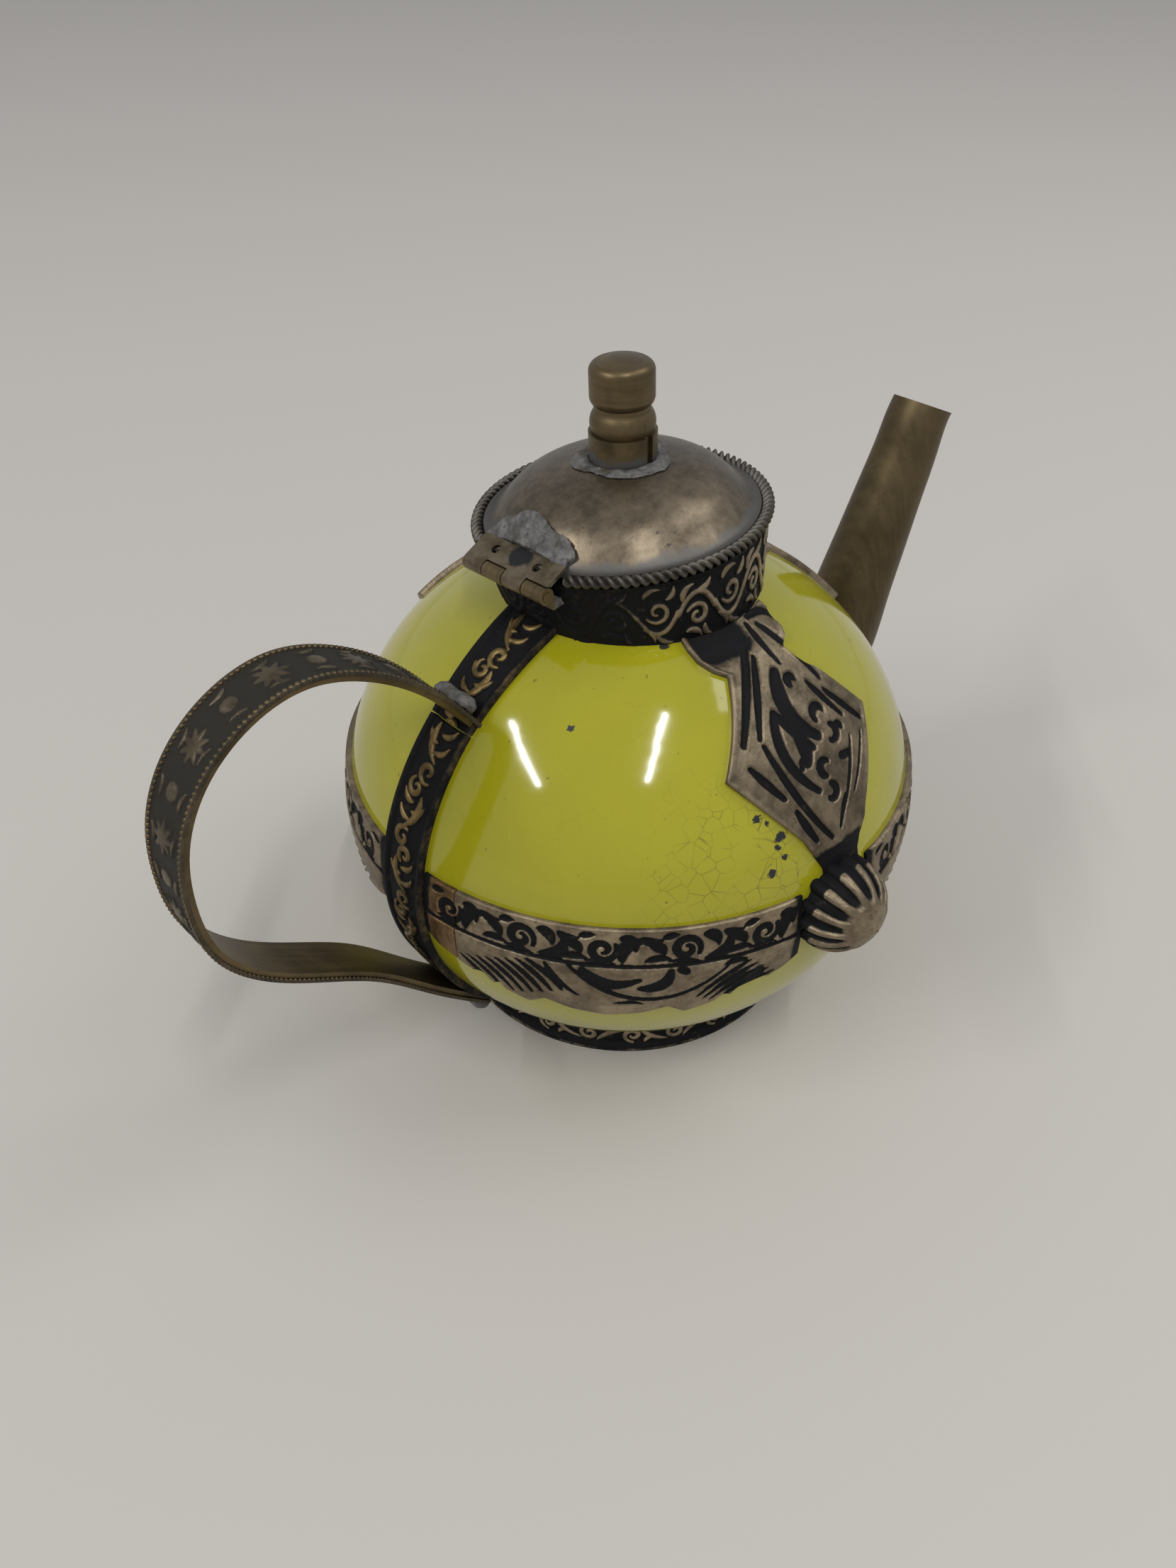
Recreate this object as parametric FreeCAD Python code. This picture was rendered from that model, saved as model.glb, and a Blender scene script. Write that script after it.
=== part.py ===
import FreeCAD, Part
import math
import os

# Ceramic ball, in millimetres; shares are parts of its radius or half height
BALL_RADIUS = 70.0
BALL_HALF_HEIGHT = 62.1
BALL_CENTRE_SHARE = 0.9034
WALL = 4.6
FOOT_SHARE = 0.6457
FOOT_RIM = 7.7
FOOT_LIFT = 0.6
FOOT_RECESS = 3.8
NECK_INSET = 2.0
NECK_WALL = 3.8
NECK_RISE = 6.0
POUR_HOLE_RADIUS = 2.4
POUR_HOLE_RING = 7.2
POUR_HOLE_COUNT = 6

# Metal overlay on the ball
SEAT_GAP = 0.03
SHEET_BUTT = 0.25
BAND_THICK = 1.3
BAND_TOP_SHARE = 0.2013
BAND_CREASE_SHARE = 0.005
BAND_END_SHARE = -0.066
BAND_SLOPE_SHARE = -0.139
BAND_TIP_SHARE = -0.2174
BAND_NOTCH_SHARE = -0.1626
BAND_MIDDLE_SHARE = -0.227
BAND_EDGE_BEAD = 0.95
BAND_CREASE_BEAD = 0.7
BAND_BUTT = 0.4
SPLICE_WIDTH = 9.0
SIDE_AZIMUTH = 92.5
PLATE_THICK = 1.2
PLATE_EAR_HALF = 12.0
PLATE_EAR_DROP = 5.0
PLATE_NOTCH_HALF = 8.4
PLATE_WIDE_HALF = 21.0
PLATE_LOW_HALF = 9.5
PLATE_TAPER = 4.0
PLATE_WIDE_SHARE = 0.6103
PLATE_LOW_SHARE = 0.3849
PLATE_END_SHARE = 0.256
STRAP_THICK = 1.3
STRAP_RAIL_RISE = 0.8
STRAP_RAIL_WIDTH = 1.3
STRAP_TOP_HALF = 7.3
STRAP_JOINT_HALF = 5.8
STRAP_LOW_HALF = 6.6
STRAP_JOINT_SHARE = 0.655
STRAP_END_SHARE = -0.72
STRAP_BUTT = 0.3

# Fluted side bosses
BOSS_RADIUS = 11.8
BOSS_WALL = 1.4
BOSS_SHARE = 0.09
BOSS_AZIMUTH = 94.0
BOSS_NUB = 1.1
BOSS_FLUTES = 12
FLUTE_RADIUS = 1.1
FLUTE_SINK = 0.35
FLUTE_SWEEP = 58.0

# Foot ring
RING_BASE_THICK = 2.0
RING_WAIST_THICK = 1.2
RING_HEIGHT = 9.4
RING_BEAD_HEIGHT = 1.8
RING_TOP_BEAD = 0.5

# Lid seat: the hand-fitted collar is higher on the front right
LID_SHIFT_X = -2.4
LID_SHIFT_Y = 1.3
COLLAR_HEIGHT = 16.5
SEAT_TILT = 5.3
SEAT_HIGH_AZIMUTH = -43.5
SEAT_CLEARANCE = 0.3
COLLAR_FOOT_RADIUS = 29.4
COLLAR_SINK = 4.4
COLLAR_FLARE = 2.1
COLLAR_THICK = 1.3

# Lid: the dome's profile is given as shares of its flange radius and its rise
LID_THICK = 1.0
LID_RISE = 11.6
LID_INSET = 1.3
LID_PROFILE = [(0.0, 1.0), (0.3, 0.955), (0.57, 0.775), (0.78, 0.47), (0.89, 0.18), (0.945, 0.05), (1.0, 0.0)]
ROPE_RADIUS = 1.4
ROPE_END_GAP = 0.6
SOLDER_THICK = 0.4

# Knob
KNOB_TILT = 2.0
KNOB_SHIFT = 1.3
FERRULE_RADIUS = 7.3
FERRULE_THICK = 0.8
FERRULE_HEIGHT = 5.6
FERRULE_SEAM = 1.8
FERRULE_SEAM_AZIMUTH = -85.0
STEM_CLEARANCE = 0.05
KNOB_RING_RADIUS = 6.95
KNOB_RING_HEIGHT = 4.0
KNOB_NECK_RADIUS = 6.0
KNOB_NECK_HEIGHT = 1.6
KNOB_CAP_RADIUS = 6.85
KNOB_CAP_HEIGHT = 9.4
KNOB_CAP_FOOT = 1.8
KNOB_CAP_ROUND = 2.0
KNOB_CROWN_RISE = 0.7
KNOB_PUDDLE_RADIUS = 10.4

# Hinge
HINGE_LENGTH = 25.0
KNUCKLES = 4
KNUCKLE_RADIUS = 1.8
KNUCKLE_GAP = 0.3
HINGE_DROP = 2.0
PIN_RADIUS = 1.0
PIN_CLEARANCE = 0.05
LEAF_THICK = 0.8
LEAF_SLOPE = 22.0
LEAF_REACH = 6.8
LEAF_SCREW_RADIUS = 1.1
LEAF_SCREW_SPREAD = 6.4
LEAF_DROP = 3.4

# Handle: inner face of the loop, as shares of the ball's radius and half height
HANDLE_PATH = [(0.693, 0.586), (0.893, 0.889), (1.071, 1.050), (1.264, 1.124), (1.450, 1.071),
               (1.579, 0.948), (1.653, 0.787), (1.677, 0.586), (1.643, 0.345), (1.536, 0.167),
               (1.200, -0.138), (1.000, -0.388), (0.871, -0.549), (0.757, -0.678)]
HANDLE_INNER_THICK = 1.2
HANDLE_OUTER_THICK = 1.0
HANDLE_LAYER_GAP = 0.03
HANDLE_INNER_HALF = 6.0
HANDLE_OUTER_HALF = 6.6
HANDLE_SOLDER_RADIUS = 2.3
HANDLE_SOLDER_HALF = 5.8
HANDLE_SOLDER_SIDE = 0.6
OFFSET_SAMPLES = 40

# Spout: centre line, as shares of the ball's radius and half height
SPOUT_PATH = [(0.886, -0.163), (1.043, -0.122), (1.186, -0.042), (1.266, 0.079), (1.318, 0.240),
              (1.376, 0.400), (1.434, 0.560), (1.492, 0.720), (1.549, 0.880), (1.611, 1.045)]
SPOUT_ROOT_RADIUS = 13.5
SPOUT_TIP_RADIUS = 8.2
SPOUT_TAPER = 1.2
SPOUT_WALL = 1.3

V = FreeCAD.Vector
Z_AXIS = V(0, 0, 1)
ORIGIN = V(0, 0, 0)
PARTS = {}

# Sizes that follow from the ball
BALL_CENTRE_Z = BALL_CENTRE_SHARE * BALL_HALF_HEIGHT
REACH = 2 * BALL_RADIUS
FOOT_RADIUS = FOOT_SHARE * BALL_RADIUS
BASE_UNDER_Z = FOOT_LIFT + FOOT_RECESS
FLOOR_Z = BASE_UNDER_Z + WALL
NECK_RADIUS = COLLAR_FOOT_RADIUS - NECK_INSET
MOUTH_RADIUS = NECK_RADIUS - NECK_WALL


def height_at(share):
    """Height of a level given as a share of the ball's half height."""
    return BALL_CENTRE_Z + share * BALL_HALF_HEIGHT


BAND_TOP_Z = height_at(BAND_TOP_SHARE)
BAND_LOW_Z = height_at(BAND_MIDDLE_SHARE)
BOSS_Z = height_at(BOSS_SHARE)
STRAP_JOINT_Z = height_at(STRAP_JOINT_SHARE)
STRAP_RAIL_THICK = STRAP_THICK + STRAP_RAIL_RISE


def keep(name, shape):
    """Check that a piece is one solid and remember it under its node name."""
    solids = shape.Solids
    if len(solids) != 1:
        raise RuntimeError("%s has %d solids" % (name, len(solids)))
    PARTS[name] = solids[0]


def line(first, second):
    return Part.LineSegment(first, second).toShape()


def arc(first, middle, last):
    return Part.Arc(first, middle, last).toShape()


def polygon_face(points):
    return Part.Face(Part.makePolygon(points + points[:1]))


def ball_height(radius, grow=0.0):
    """Height of the ball's upper surface above its centre at a given radius."""
    wide = BALL_RADIUS + grow
    return (BALL_HALF_HEIGHT + grow) * math.sqrt(1.0 - (radius / wide) ** 2)


def ball_radius(z, grow=0.0):
    """Radius of the ball's surface at a given height."""
    tall = BALL_HALF_HEIGHT + grow
    return (BALL_RADIUS + grow) * math.sqrt(1.0 - ((z - BALL_CENTRE_Z) / tall) ** 2)


def ball_ellipse(grow):
    """Outline of the grown ball in the XZ plane."""
    wide = V(BALL_RADIUS + grow, 0, BALL_CENTRE_Z)
    tall = V(0, 0, BALL_CENTRE_Z + BALL_HALF_HEIGHT + grow)
    return Part.Ellipse(wide, tall, V(0, 0, BALL_CENTRE_Z))


def ball_arc(grow, start, end):
    """Side of the ball between two heights."""
    angles = [math.asin((z - BALL_CENTRE_Z) / (BALL_HALF_HEIGHT + grow)) for z in (start, end)]
    return Part.ArcOfEllipse(ball_ellipse(grow), angles[0], angles[1]).toShape()


def ball(grow):
    """Whole ball, grown by the given thickness."""
    reach = BALL_HALF_HEIGHT + grow
    side = Part.ArcOfEllipse(ball_ellipse(grow), -math.pi / 2, math.pi / 2).toShape()
    axis = line(V(0, 0, BALL_CENTRE_Z + reach), V(0, 0, BALL_CENTRE_Z - reach))
    return Part.Face(Part.Wire([side, axis])).revolve(ORIGIN, Z_AXIS, 360).Solids[0]


BARE_BALL = ball(SEAT_GAP)


def on_ball(prism, thick):
    """Cut a prism down to a sheet that lies on the ball."""
    return prism.common(ball(thick)).cut(BARE_BALL)


COLLAR_MEET_Z = BALL_CENTRE_Z + ball_height(COLLAR_FOOT_RADIUS)
COLLAR_TOP_RADIUS = COLLAR_FOOT_RADIUS + COLLAR_FLARE
LID_FLANGE_RADIUS = COLLAR_TOP_RADIUS - LID_INSET


def seat_placement(centre, tilt):
    """Frame of the lid's seat: raised towards the high side of the collar."""
    high = math.radians(SEAT_HIGH_AZIMUTH)
    spin = FreeCAD.Rotation(V(math.sin(high), -math.cos(high), 0), tilt)
    return FreeCAD.Placement(centre, spin)


SEAT = seat_placement(V(LID_SHIFT_X, LID_SHIFT_Y, COLLAR_MEET_Z + COLLAR_HEIGHT), SEAT_TILT)
COLLAR_TOP_Z = -ROPE_RADIUS - SEAT_CLEARANCE
FLANGE_TOP_Z = LID_THICK / 2
HINGE_Z = -HINGE_DROP
PLATE_BACK_X = -COLLAR_TOP_RADIUS - SEAT_GAP
HINGE_X = PLATE_BACK_X - KNUCKLE_RADIUS


def seated(shape, frame=None):
    """Move a shape from the lid's own frame to its place on the pot."""
    copy = shape.copy()
    copy.Placement = (frame or SEAT).multiply(copy.Placement)
    return copy


def collar_cone(grow):
    """Ruled body between the level foot circle and the tilted top circle."""
    foot_z = COLLAR_MEET_Z - COLLAR_SINK
    foot = Part.Wire([Part.makeCircle(COLLAR_FOOT_RADIUS + grow, V(0, 0, foot_z), Z_AXIS)])
    top = Part.Wire([Part.makeCircle(COLLAR_TOP_RADIUS + grow, V(0, 0, COLLAR_TOP_Z), Z_AXIS)])
    return Part.makeLoft([foot, seated(top)], True, True)


def outside_collar(shape):
    """Stop a sheet at the collar's foot."""
    return shape.cut(collar_cone(SHEET_BUTT))


def turned(shape, azimuth):
    copy = shape.copy()
    copy.rotate(ORIGIN, Z_AXIS, azimuth)
    return copy


def mirrored(shape):
    return shape.mirror(ORIGIN, V(0, 1, 0))


def revolved(points):
    return polygon_face([V(r, 0, z) for r, z in points]).revolve(ORIGIN, Z_AXIS, 360).Solids[0]


def ceramic_body():
    """Thrown ball with a foot, a short neck and a group of pouring holes."""
    foot_meet = BALL_CENTRE_Z - ball_height(FOOT_RADIUS)
    neck_meet = BALL_CENTRE_Z + ball_height(NECK_RADIUS)
    neck_top = neck_meet + NECK_RISE
    mouth_meet = BALL_CENTRE_Z + ball_height(MOUTH_RADIUS, -WALL)
    floor_radius = ball_radius(FLOOR_Z, -WALL)
    outer = ball_arc(0, foot_meet, neck_meet)
    inner = ball_arc(-WALL, FLOOR_Z, mouth_meet)
    half_rim = (NECK_RADIUS - MOUTH_RADIUS) / 2
    rim = arc(V(NECK_RADIUS, 0, neck_top), V(NECK_RADIUS - half_rim, 0, neck_top + half_rim),
              V(MOUTH_RADIUS, 0, neck_top))
    base = [V(0, 0, FLOOR_Z), V(0, 0, BASE_UNDER_Z), V((FOOT_RADIUS - FOOT_RIM), 0, BASE_UNDER_Z),
            V((FOOT_RADIUS - FOOT_RIM), 0, FOOT_LIFT), V(FOOT_RADIUS, 0, FOOT_LIFT),
            V(FOOT_RADIUS, 0, foot_meet)]
    edges = [line(a, b) for a, b in zip(base, base[1:])]
    edges += [outer, line(V(NECK_RADIUS, 0, neck_meet), V(NECK_RADIUS, 0, neck_top)), rim]
    edges += [line(V(MOUTH_RADIUS, 0, neck_top), V(MOUTH_RADIUS, 0, mouth_meet)), inner]
    edges += [line(V(floor_radius, 0, FLOOR_Z), V(0, 0, FLOOR_Z))]
    wire = Part.Wire(Part.__sortEdges__(edges))
    body = Part.Face(wire).revolve(ORIGIN, Z_AXIS, 360).Solids[0]
    return body.cut(pour_holes())


def pour_holes():
    """One hole in the middle and a ring of holes behind the spout's root."""
    root_z = height_at(SPOUT_PATH[0][1])
    centres = [(0.0, root_z)]
    for index in range(POUR_HOLE_COUNT):
        turn = 2 * math.pi * index / POUR_HOLE_COUNT
        centres.append((POUR_HOLE_RING * math.cos(turn), root_z + POUR_HOLE_RING * math.sin(turn)))
    start = BALL_RADIUS - 3 * WALL
    drills = [Part.makeCylinder(POUR_HOLE_RADIUS, 4 * WALL, V(start, y, z), V(1, 0, 0))
              for y, z in centres]
    return drills[0].multiFuse(drills[1:])


def foot_ring():
    """Turned ring with a bead at its foot and at its top edge."""
    inner = FOOT_RADIUS + SHEET_BUTT
    base = FOOT_RADIUS + RING_BASE_THICK
    waist = FOOT_RADIUS + RING_WAIST_THICK
    bead = waist + RING_TOP_BEAD
    ring = revolved([(inner, 0), (base, 0), (base, RING_BEAD_HEIGHT), (waist, 1.4 * RING_BEAD_HEIGHT),
                     (waist, RING_HEIGHT - 3 * RING_TOP_BEAD), (bead, RING_HEIGHT - 2 * RING_TOP_BEAD),
                     (bead, RING_HEIGHT - RING_TOP_BEAD), (waist, RING_HEIGHT), (inner, RING_HEIGHT)])
    return ring.cut(ball(SHEET_BUTT))


def band_cutter(half_width):
    """Everything under the scalloped lower edge, as a prism along X."""
    half = [(1.0, BAND_END_SHARE), (0.72, BAND_SLOPE_SHARE), (0.42, BAND_TIP_SHARE), (0.33, BAND_NOTCH_SHARE)]
    outline = [(-place, share) for place, share in half] + [(0.0, BAND_MIDDLE_SHARE)] + half[::-1]
    points = [V(0, half_width * place, height_at(share)) for place, share in outline]
    side = 1.3 * half_width
    end_z = height_at(BAND_END_SHARE)
    corners = [V(0, side, end_z), V(0, side, 0), V(0, -side, 0), V(0, -side, end_z)]
    return polygon_face(points + corners).extrude(V(REACH, 0, 0))


def band_wedge(start, end):
    """Upright wedge between two azimuths and the band's height limits."""
    low = BAND_LOW_Z - BAND_THICK
    inner = BALL_RADIUS / 2
    outer = BALL_RADIUS + 4 * BAND_THICK
    face = polygon_face([V(inner, 0, low), V(outer, 0, low),
                         V(outer, 0, BAND_TOP_Z), V(inner, 0, BAND_TOP_Z)])
    return turned(face.revolve(ORIGIN, Z_AXIS, end - start).Solids[0], start)


def bead_arc(z, radius, start, end):
    """Round bead that runs along the band at one height."""
    rest = ball_radius(z, BAND_THICK)
    circle = Part.makeCircle(radius, V(rest - radius * 0.3, 0, z), V(0, 1, 0))
    face = Part.Face(Part.Wire([circle]))
    return turned(face.revolve(ORIGIN, Z_AXIS, end - start).Solids[0], start)


def band(start, end, middle, half_width):
    """One stretch of belly band with its scallops centred on an azimuth."""
    sheet = on_ball(band_wedge(start, end), BAND_THICK)
    sheet = sheet.cut(turned(band_cutter(half_width), middle))
    beads = [bead_arc(BAND_TOP_Z - BAND_EDGE_BEAD, BAND_EDGE_BEAD, start, end),
             bead_arc(height_at(BAND_CREASE_SHARE), BAND_CREASE_BEAD, start, end)]
    return sheet.multiFuse([bead.cut(BARE_BALL) for bead in beads]).removeSplitter()


def chord_angle(half_width):
    return math.degrees(math.asin(half_width / (BALL_RADIUS + BAND_THICK)))


def belly_bands():
    """Four stretches between strap, bosses and spout, one of them spliced."""
    boss_end = chord_angle(BOSS_RADIUS + BAND_BUTT)
    strap_end = chord_angle(STRAP_LOW_HALF + BAND_BUTT)
    spout_end = chord_angle(SPOUT_ROOT_RADIUS + BAND_BUTT)
    splice_end = strap_end + math.degrees(SPLICE_WIDTH / BALL_RADIUS)
    rear = (BOSS_AZIMUTH + boss_end, 180 - strap_end)
    front = (spout_end, BOSS_AZIMUTH - boss_end)
    rear_half = BALL_RADIUS * math.sin(math.radians((rear[1] - rear[0]) / 2))
    front_half = BALL_RADIUS * math.sin(math.radians((front[1] - front[0]) / 2))
    rear_middle = (rear[0] + rear[1]) / 2
    front_middle = (front[0] + front[1]) / 2
    butt = chord_angle(BAND_BUTT)
    keep("belly_band_rear_left", band(rear[0], rear[1], rear_middle, rear_half))
    keep("belly_band_front_left", band(front[0], front[1], front_middle, front_half))
    keep("belly_band_front_right", band(-front[1], -front[0], -front_middle, front_half))
    keep("belly_band_rear_right",
         band(180 + splice_end + butt, 360 - rear[0], 360 - rear_middle, rear_half))
    keep("band_splice_right", band(180 + strap_end, 180 + splice_end, 360 - rear_middle, rear_half))


def diamond_plate():
    """Eared sheet that hangs from the collar over the shoulder, on the +X side."""
    ear_low = COLLAR_MEET_Z - PLATE_EAR_DROP
    ear_top = COLLAR_MEET_Z + COLLAR_HEIGHT
    ear_half = PLATE_EAR_HALF * 0.95
    start = V(0, ear_half, COLLAR_MEET_Z)
    bulge = V(0, PLATE_EAR_HALF, COLLAR_MEET_Z - PLATE_EAR_DROP / 2)
    notch = V(0, PLATE_NOTCH_HALF, ear_low)
    end_z = height_at(PLATE_END_SHARE)
    corners = [notch, V(0, PLATE_WIDE_HALF, height_at(PLATE_WIDE_SHARE)),
               V(0, PLATE_LOW_HALF, height_at(PLATE_LOW_SHARE)), V(0, PLATE_LOW_HALF - PLATE_TAPER, end_z),
               V(0, 0, end_z), V(0, 0, ear_top), V(0, ear_half, ear_top), start]
    edges = [arc(start, bulge, notch)] + [line(a, b) for a, b in zip(corners, corners[1:])]
    half = Part.Face(Part.Wire(edges)).extrude(V(REACH, 0, 0))
    prism = half.fuse(mirrored(half)).removeSplitter()
    return on_ball(prism, PLATE_THICK)


def boss():
    """Hollow fluted dome on the +X side."""
    centre = V(ball_radius(BOSS_Z), 0, BOSS_Z)
    nub = Part.makeSphere(BOSS_NUB, centre + V(BOSS_RADIUS - BOSS_NUB / 2, 0, 0))
    dome = Part.makeSphere(BOSS_RADIUS, centre).fuse(nub)
    dome = dome.cut(Part.makeSphere(BOSS_RADIUS - BOSS_WALL, centre)).cut(BARE_BALL)
    for index in range(BOSS_FLUTES):
        dome = dome.cut(flute(centre, 360.0 * index / BOSS_FLUTES))
    return dome


def flute(centre, turn):
    """One rounded groove from the dome's foot towards its crown."""
    reach = BOSS_RADIUS + FLUTE_SINK
    start = centre + V(0, 0, reach)
    groove = Part.Face(Part.Wire([Part.makeCircle(FLUTE_RADIUS, start, V(1, 0, 0))]))
    groove = groove.revolve(centre, V(0, 1, 0), FLUTE_SWEEP).Solids[0]
    lift = math.radians(FLUTE_SWEEP)
    end = centre + V(reach * math.sin(lift), 0, reach * math.cos(lift))
    cutter = groove.fuse(Part.makeSphere(FLUTE_RADIUS, end))
    cutter.rotate(centre, V(1, 0, 0), turn)
    return cutter


def side_fittings():
    """Plates and bosses on both sides and the plate above the spout."""
    plate = diamond_plate()
    dome = boss()
    room = Part.makeSphere(BOSS_RADIUS + SEAT_GAP, V(ball_radius(BOSS_Z), 0, BOSS_Z))
    for name, hand in (("left", 1), ("right", -1)):
        side = turned(plate, hand * SIDE_AZIMUTH).cut(turned(room, hand * BOSS_AZIMUTH))
        keep("side_plate_" + name, outside_collar(side))
        keep("boss_" + name, turned(dome, hand * BOSS_AZIMUTH))
    keep("spout_plate", outside_collar(plate))


def strap_prism(top, bottom):
    """Tapered prism along -X from (half width, height) at both ends."""
    points = [V(0, top[0], top[1]), V(0, bottom[0], bottom[1]),
              V(0, -bottom[0], bottom[1]), V(0, -top[0], top[1])]
    return polygon_face(points).extrude(V(-REACH, 0, 0))


def strap(top, bottom):
    """Chased strap with two raised rails along its sides."""
    whole = strap_prism(top, bottom)
    inner = strap_prism((top[0] - STRAP_RAIL_WIDTH, top[1] + 1),
                        (bottom[0] - STRAP_RAIL_WIDTH, bottom[1] - 1))
    channel = inner.common(ball(STRAP_RAIL_THICK + 1)).cut(ball(STRAP_THICK))
    return on_ball(whole, STRAP_RAIL_THICK).cut(channel)


def handle_straps():
    top_z = COLLAR_MEET_Z + COLLAR_SINK
    end_z = max(height_at(STRAP_END_SHARE), RING_HEIGHT + STRAP_RAIL_THICK)
    upper = strap((STRAP_TOP_HALF, top_z), (STRAP_JOINT_HALF, STRAP_JOINT_Z))
    lower = strap((STRAP_JOINT_HALF, STRAP_JOINT_Z - STRAP_BUTT), (STRAP_LOW_HALF, end_z))
    keep("handle_strap_upper", outside_collar(upper))
    keep("handle_strap_lower", lower)


def spline(points):
    curve = Part.BSplineCurve()
    curve.interpolate(points)
    return curve


def handle_curve():
    return spline([V(-wide * BALL_RADIUS, 0, height_at(tall)) for wide, tall in HANDLE_PATH])


def offset_curve(curve, distance):
    """Curve at a set distance on the outer side of the handle."""
    points = []
    for index in range(OFFSET_SAMPLES + 1):
        share = index / OFFSET_SAMPLES
        place = curve.FirstParameter + share * (curve.LastParameter - curve.FirstParameter)
        along = V(*curve.tangent(place)[0])
        outward = V(0, 1, 0).cross(along)
        points.append(curve.value(place) + outward * distance)
    return spline(points)


def handle_strip(low, high, half_width):
    """Bent strip between two distances from the handle's inner curve."""
    curve = handle_curve()
    first = offset_curve(curve, low)
    second = offset_curve(curve, high)
    edges = [first.toShape(), line(first.EndPoint, second.EndPoint), second.toShape(),
             line(second.StartPoint, first.StartPoint)]
    face = Part.Face(Part.Wire(Part.__sortEdges__(edges)))
    strip = face.extrude(V(0, 2 * half_width, 0))
    strip.translate(V(0, -half_width, 0))
    return strip.cut(ball(STRAP_RAIL_THICK + SEAT_GAP))


def handle():
    """Two layers of strip and the solder at both ends."""
    step = HANDLE_INNER_THICK + HANDLE_LAYER_GAP
    inner = handle_strip(0.0, HANDLE_INNER_THICK, HANDLE_INNER_HALF)
    outer = handle_strip(step, step + HANDLE_OUTER_THICK, HANDLE_OUTER_HALF)
    keep("handle_inner_strip", inner)
    keep("handle_outer_strip", outer)
    strips = handle_strip(-SEAT_GAP, step + HANDLE_OUTER_THICK + SEAT_GAP, HANDLE_OUTER_HALF + SEAT_GAP)
    forwards = range(OFFSET_SAMPLES + 1)
    keep("handle_solder_top", solder_lump(forwards, strips))
    keep("handle_solder_bottom", solder_lump(reversed(forwards), strips))


def leaving_point(curve, order):
    """First point along a curve, in the given order, that is clear of the strap's rails."""
    grow = STRAP_RAIL_THICK + SEAT_GAP
    for index in order:
        place = curve.FirstParameter + index / OFFSET_SAMPLES * (curve.LastParameter - curve.FirstParameter)
        point = curve.value(place)
        tall = (point.z - BALL_CENTRE_Z) / (BALL_HALF_HEIGHT + grow)
        if (point.x / (BALL_RADIUS + grow)) ** 2 + tall ** 2 > 1.0:
            return point
    raise ValueError("the handle doesn't leave the ball")


def solder_bead():
    """Bead of solder across the handle, round at both ends."""
    half = HANDLE_SOLDER_HALF - HANDLE_SOLDER_RADIUS
    bead = Part.makeCylinder(HANDLE_SOLDER_RADIUS, 2 * half, V(0, -half, 0), V(0, 1, 0))
    ends = [Part.makeSphere(HANDLE_SOLDER_RADIUS, V(0, side * half, 0)) for side in (-1, 1)]
    return bead.multiFuse(ends)


def solder_lump(order, strips):
    """Solder in the corner between the strap and the handle's outer face."""
    face = offset_curve(handle_curve(), HANDLE_INNER_THICK + HANDLE_OUTER_THICK + HANDLE_SOLDER_SIDE)
    lump = solder_bead()
    lump.translate(leaving_point(face, order))
    pieces = lump.cut(ball(STRAP_RAIL_THICK + SEAT_GAP)).cut(strips).Solids
    return max(pieces, key=lambda solid: solid.Volume)


def spout_sections(shrink):
    """Circles square to the spout's centre line."""
    points = [V(wide * BALL_RADIUS, 0, height_at(tall)) for wide, tall in SPOUT_PATH]
    curve = spline(points)
    count = len(points)
    circles = []
    for index, point in enumerate(points):
        along = V(*curve.tangent(curve.parameter(point))[0])
        share = index / (count - 1)
        radius = SPOUT_TIP_RADIUS + (SPOUT_ROOT_RADIUS - SPOUT_TIP_RADIUS) * (1 - share) ** SPOUT_TAPER
        circles.append(Part.Wire([Part.makeCircle(radius - shrink, point, along)]))
    return circles


def spout_tube():
    """Bent tapering tube, open from the pouring holes to the tip."""
    outer = Part.makeLoft(spout_sections(0.0), True, False)
    bore = Part.makeLoft(spout_sections(SPOUT_WALL), True, False)
    return outer.cut(bore).cut(BARE_BALL)


def collar():
    return collar_cone(0.0).cut(collar_cone(-COLLAR_THICK)).cut(BARE_BALL)


def lid_curve(lift):
    """Profile of the lid's outer face, raised square to itself."""
    points = [V(wide * LID_FLANGE_RADIUS, 0, FLANGE_TOP_Z + tall * LID_RISE) for wide, tall in LID_PROFILE]
    face = Part.BSplineCurve()
    face.interpolate(Points=points, InitialTangent=V(1, 0, 0), FinalTangent=V(1, 0, 0))
    raised = []
    for index in range(OFFSET_SAMPLES + 1):
        place = face.FirstParameter + index / OFFSET_SAMPLES * (face.LastParameter - face.FirstParameter)
        along = V(*face.tangent(place)[0])
        raised.append(face.value(place) + V(-along.z, 0, along.x) * lift)
    raised[0].x = 0.0
    raised[-1].x = LID_FLANGE_RADIUS
    curve = Part.BSplineCurve()
    curve.interpolate(Points=raised, InitialTangent=V(1, 0, 0), FinalTangent=V(1, 0, 0))
    return curve


def lid_skin(lift, edge=0.0):
    """Solid under the lid's outer face, raised by the given distance."""
    curve = lid_curve(lift)
    low = FLANGE_TOP_Z - 4 * LID_THICK
    rim = V(LID_FLANGE_RADIUS + edge, 0, curve.EndPoint.z)
    edges = [curve.toShape()]
    if edge:
        edges.append(line(curve.EndPoint, rim))
    edges += [line(rim, V(rim.x, 0, low)), line(V(rim.x, 0, low), V(0, 0, low)),
              line(V(0, 0, low), curve.StartPoint)]
    return Part.Face(Part.Wire(edges)).revolve(ORIGIN, Z_AXIS, 360).Solids[0]


def lid_dome():
    """Spun dome with a flat flange."""
    inner = lid_skin(-LID_THICK)
    return lid_skin(0.0).cut(inner)


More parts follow.
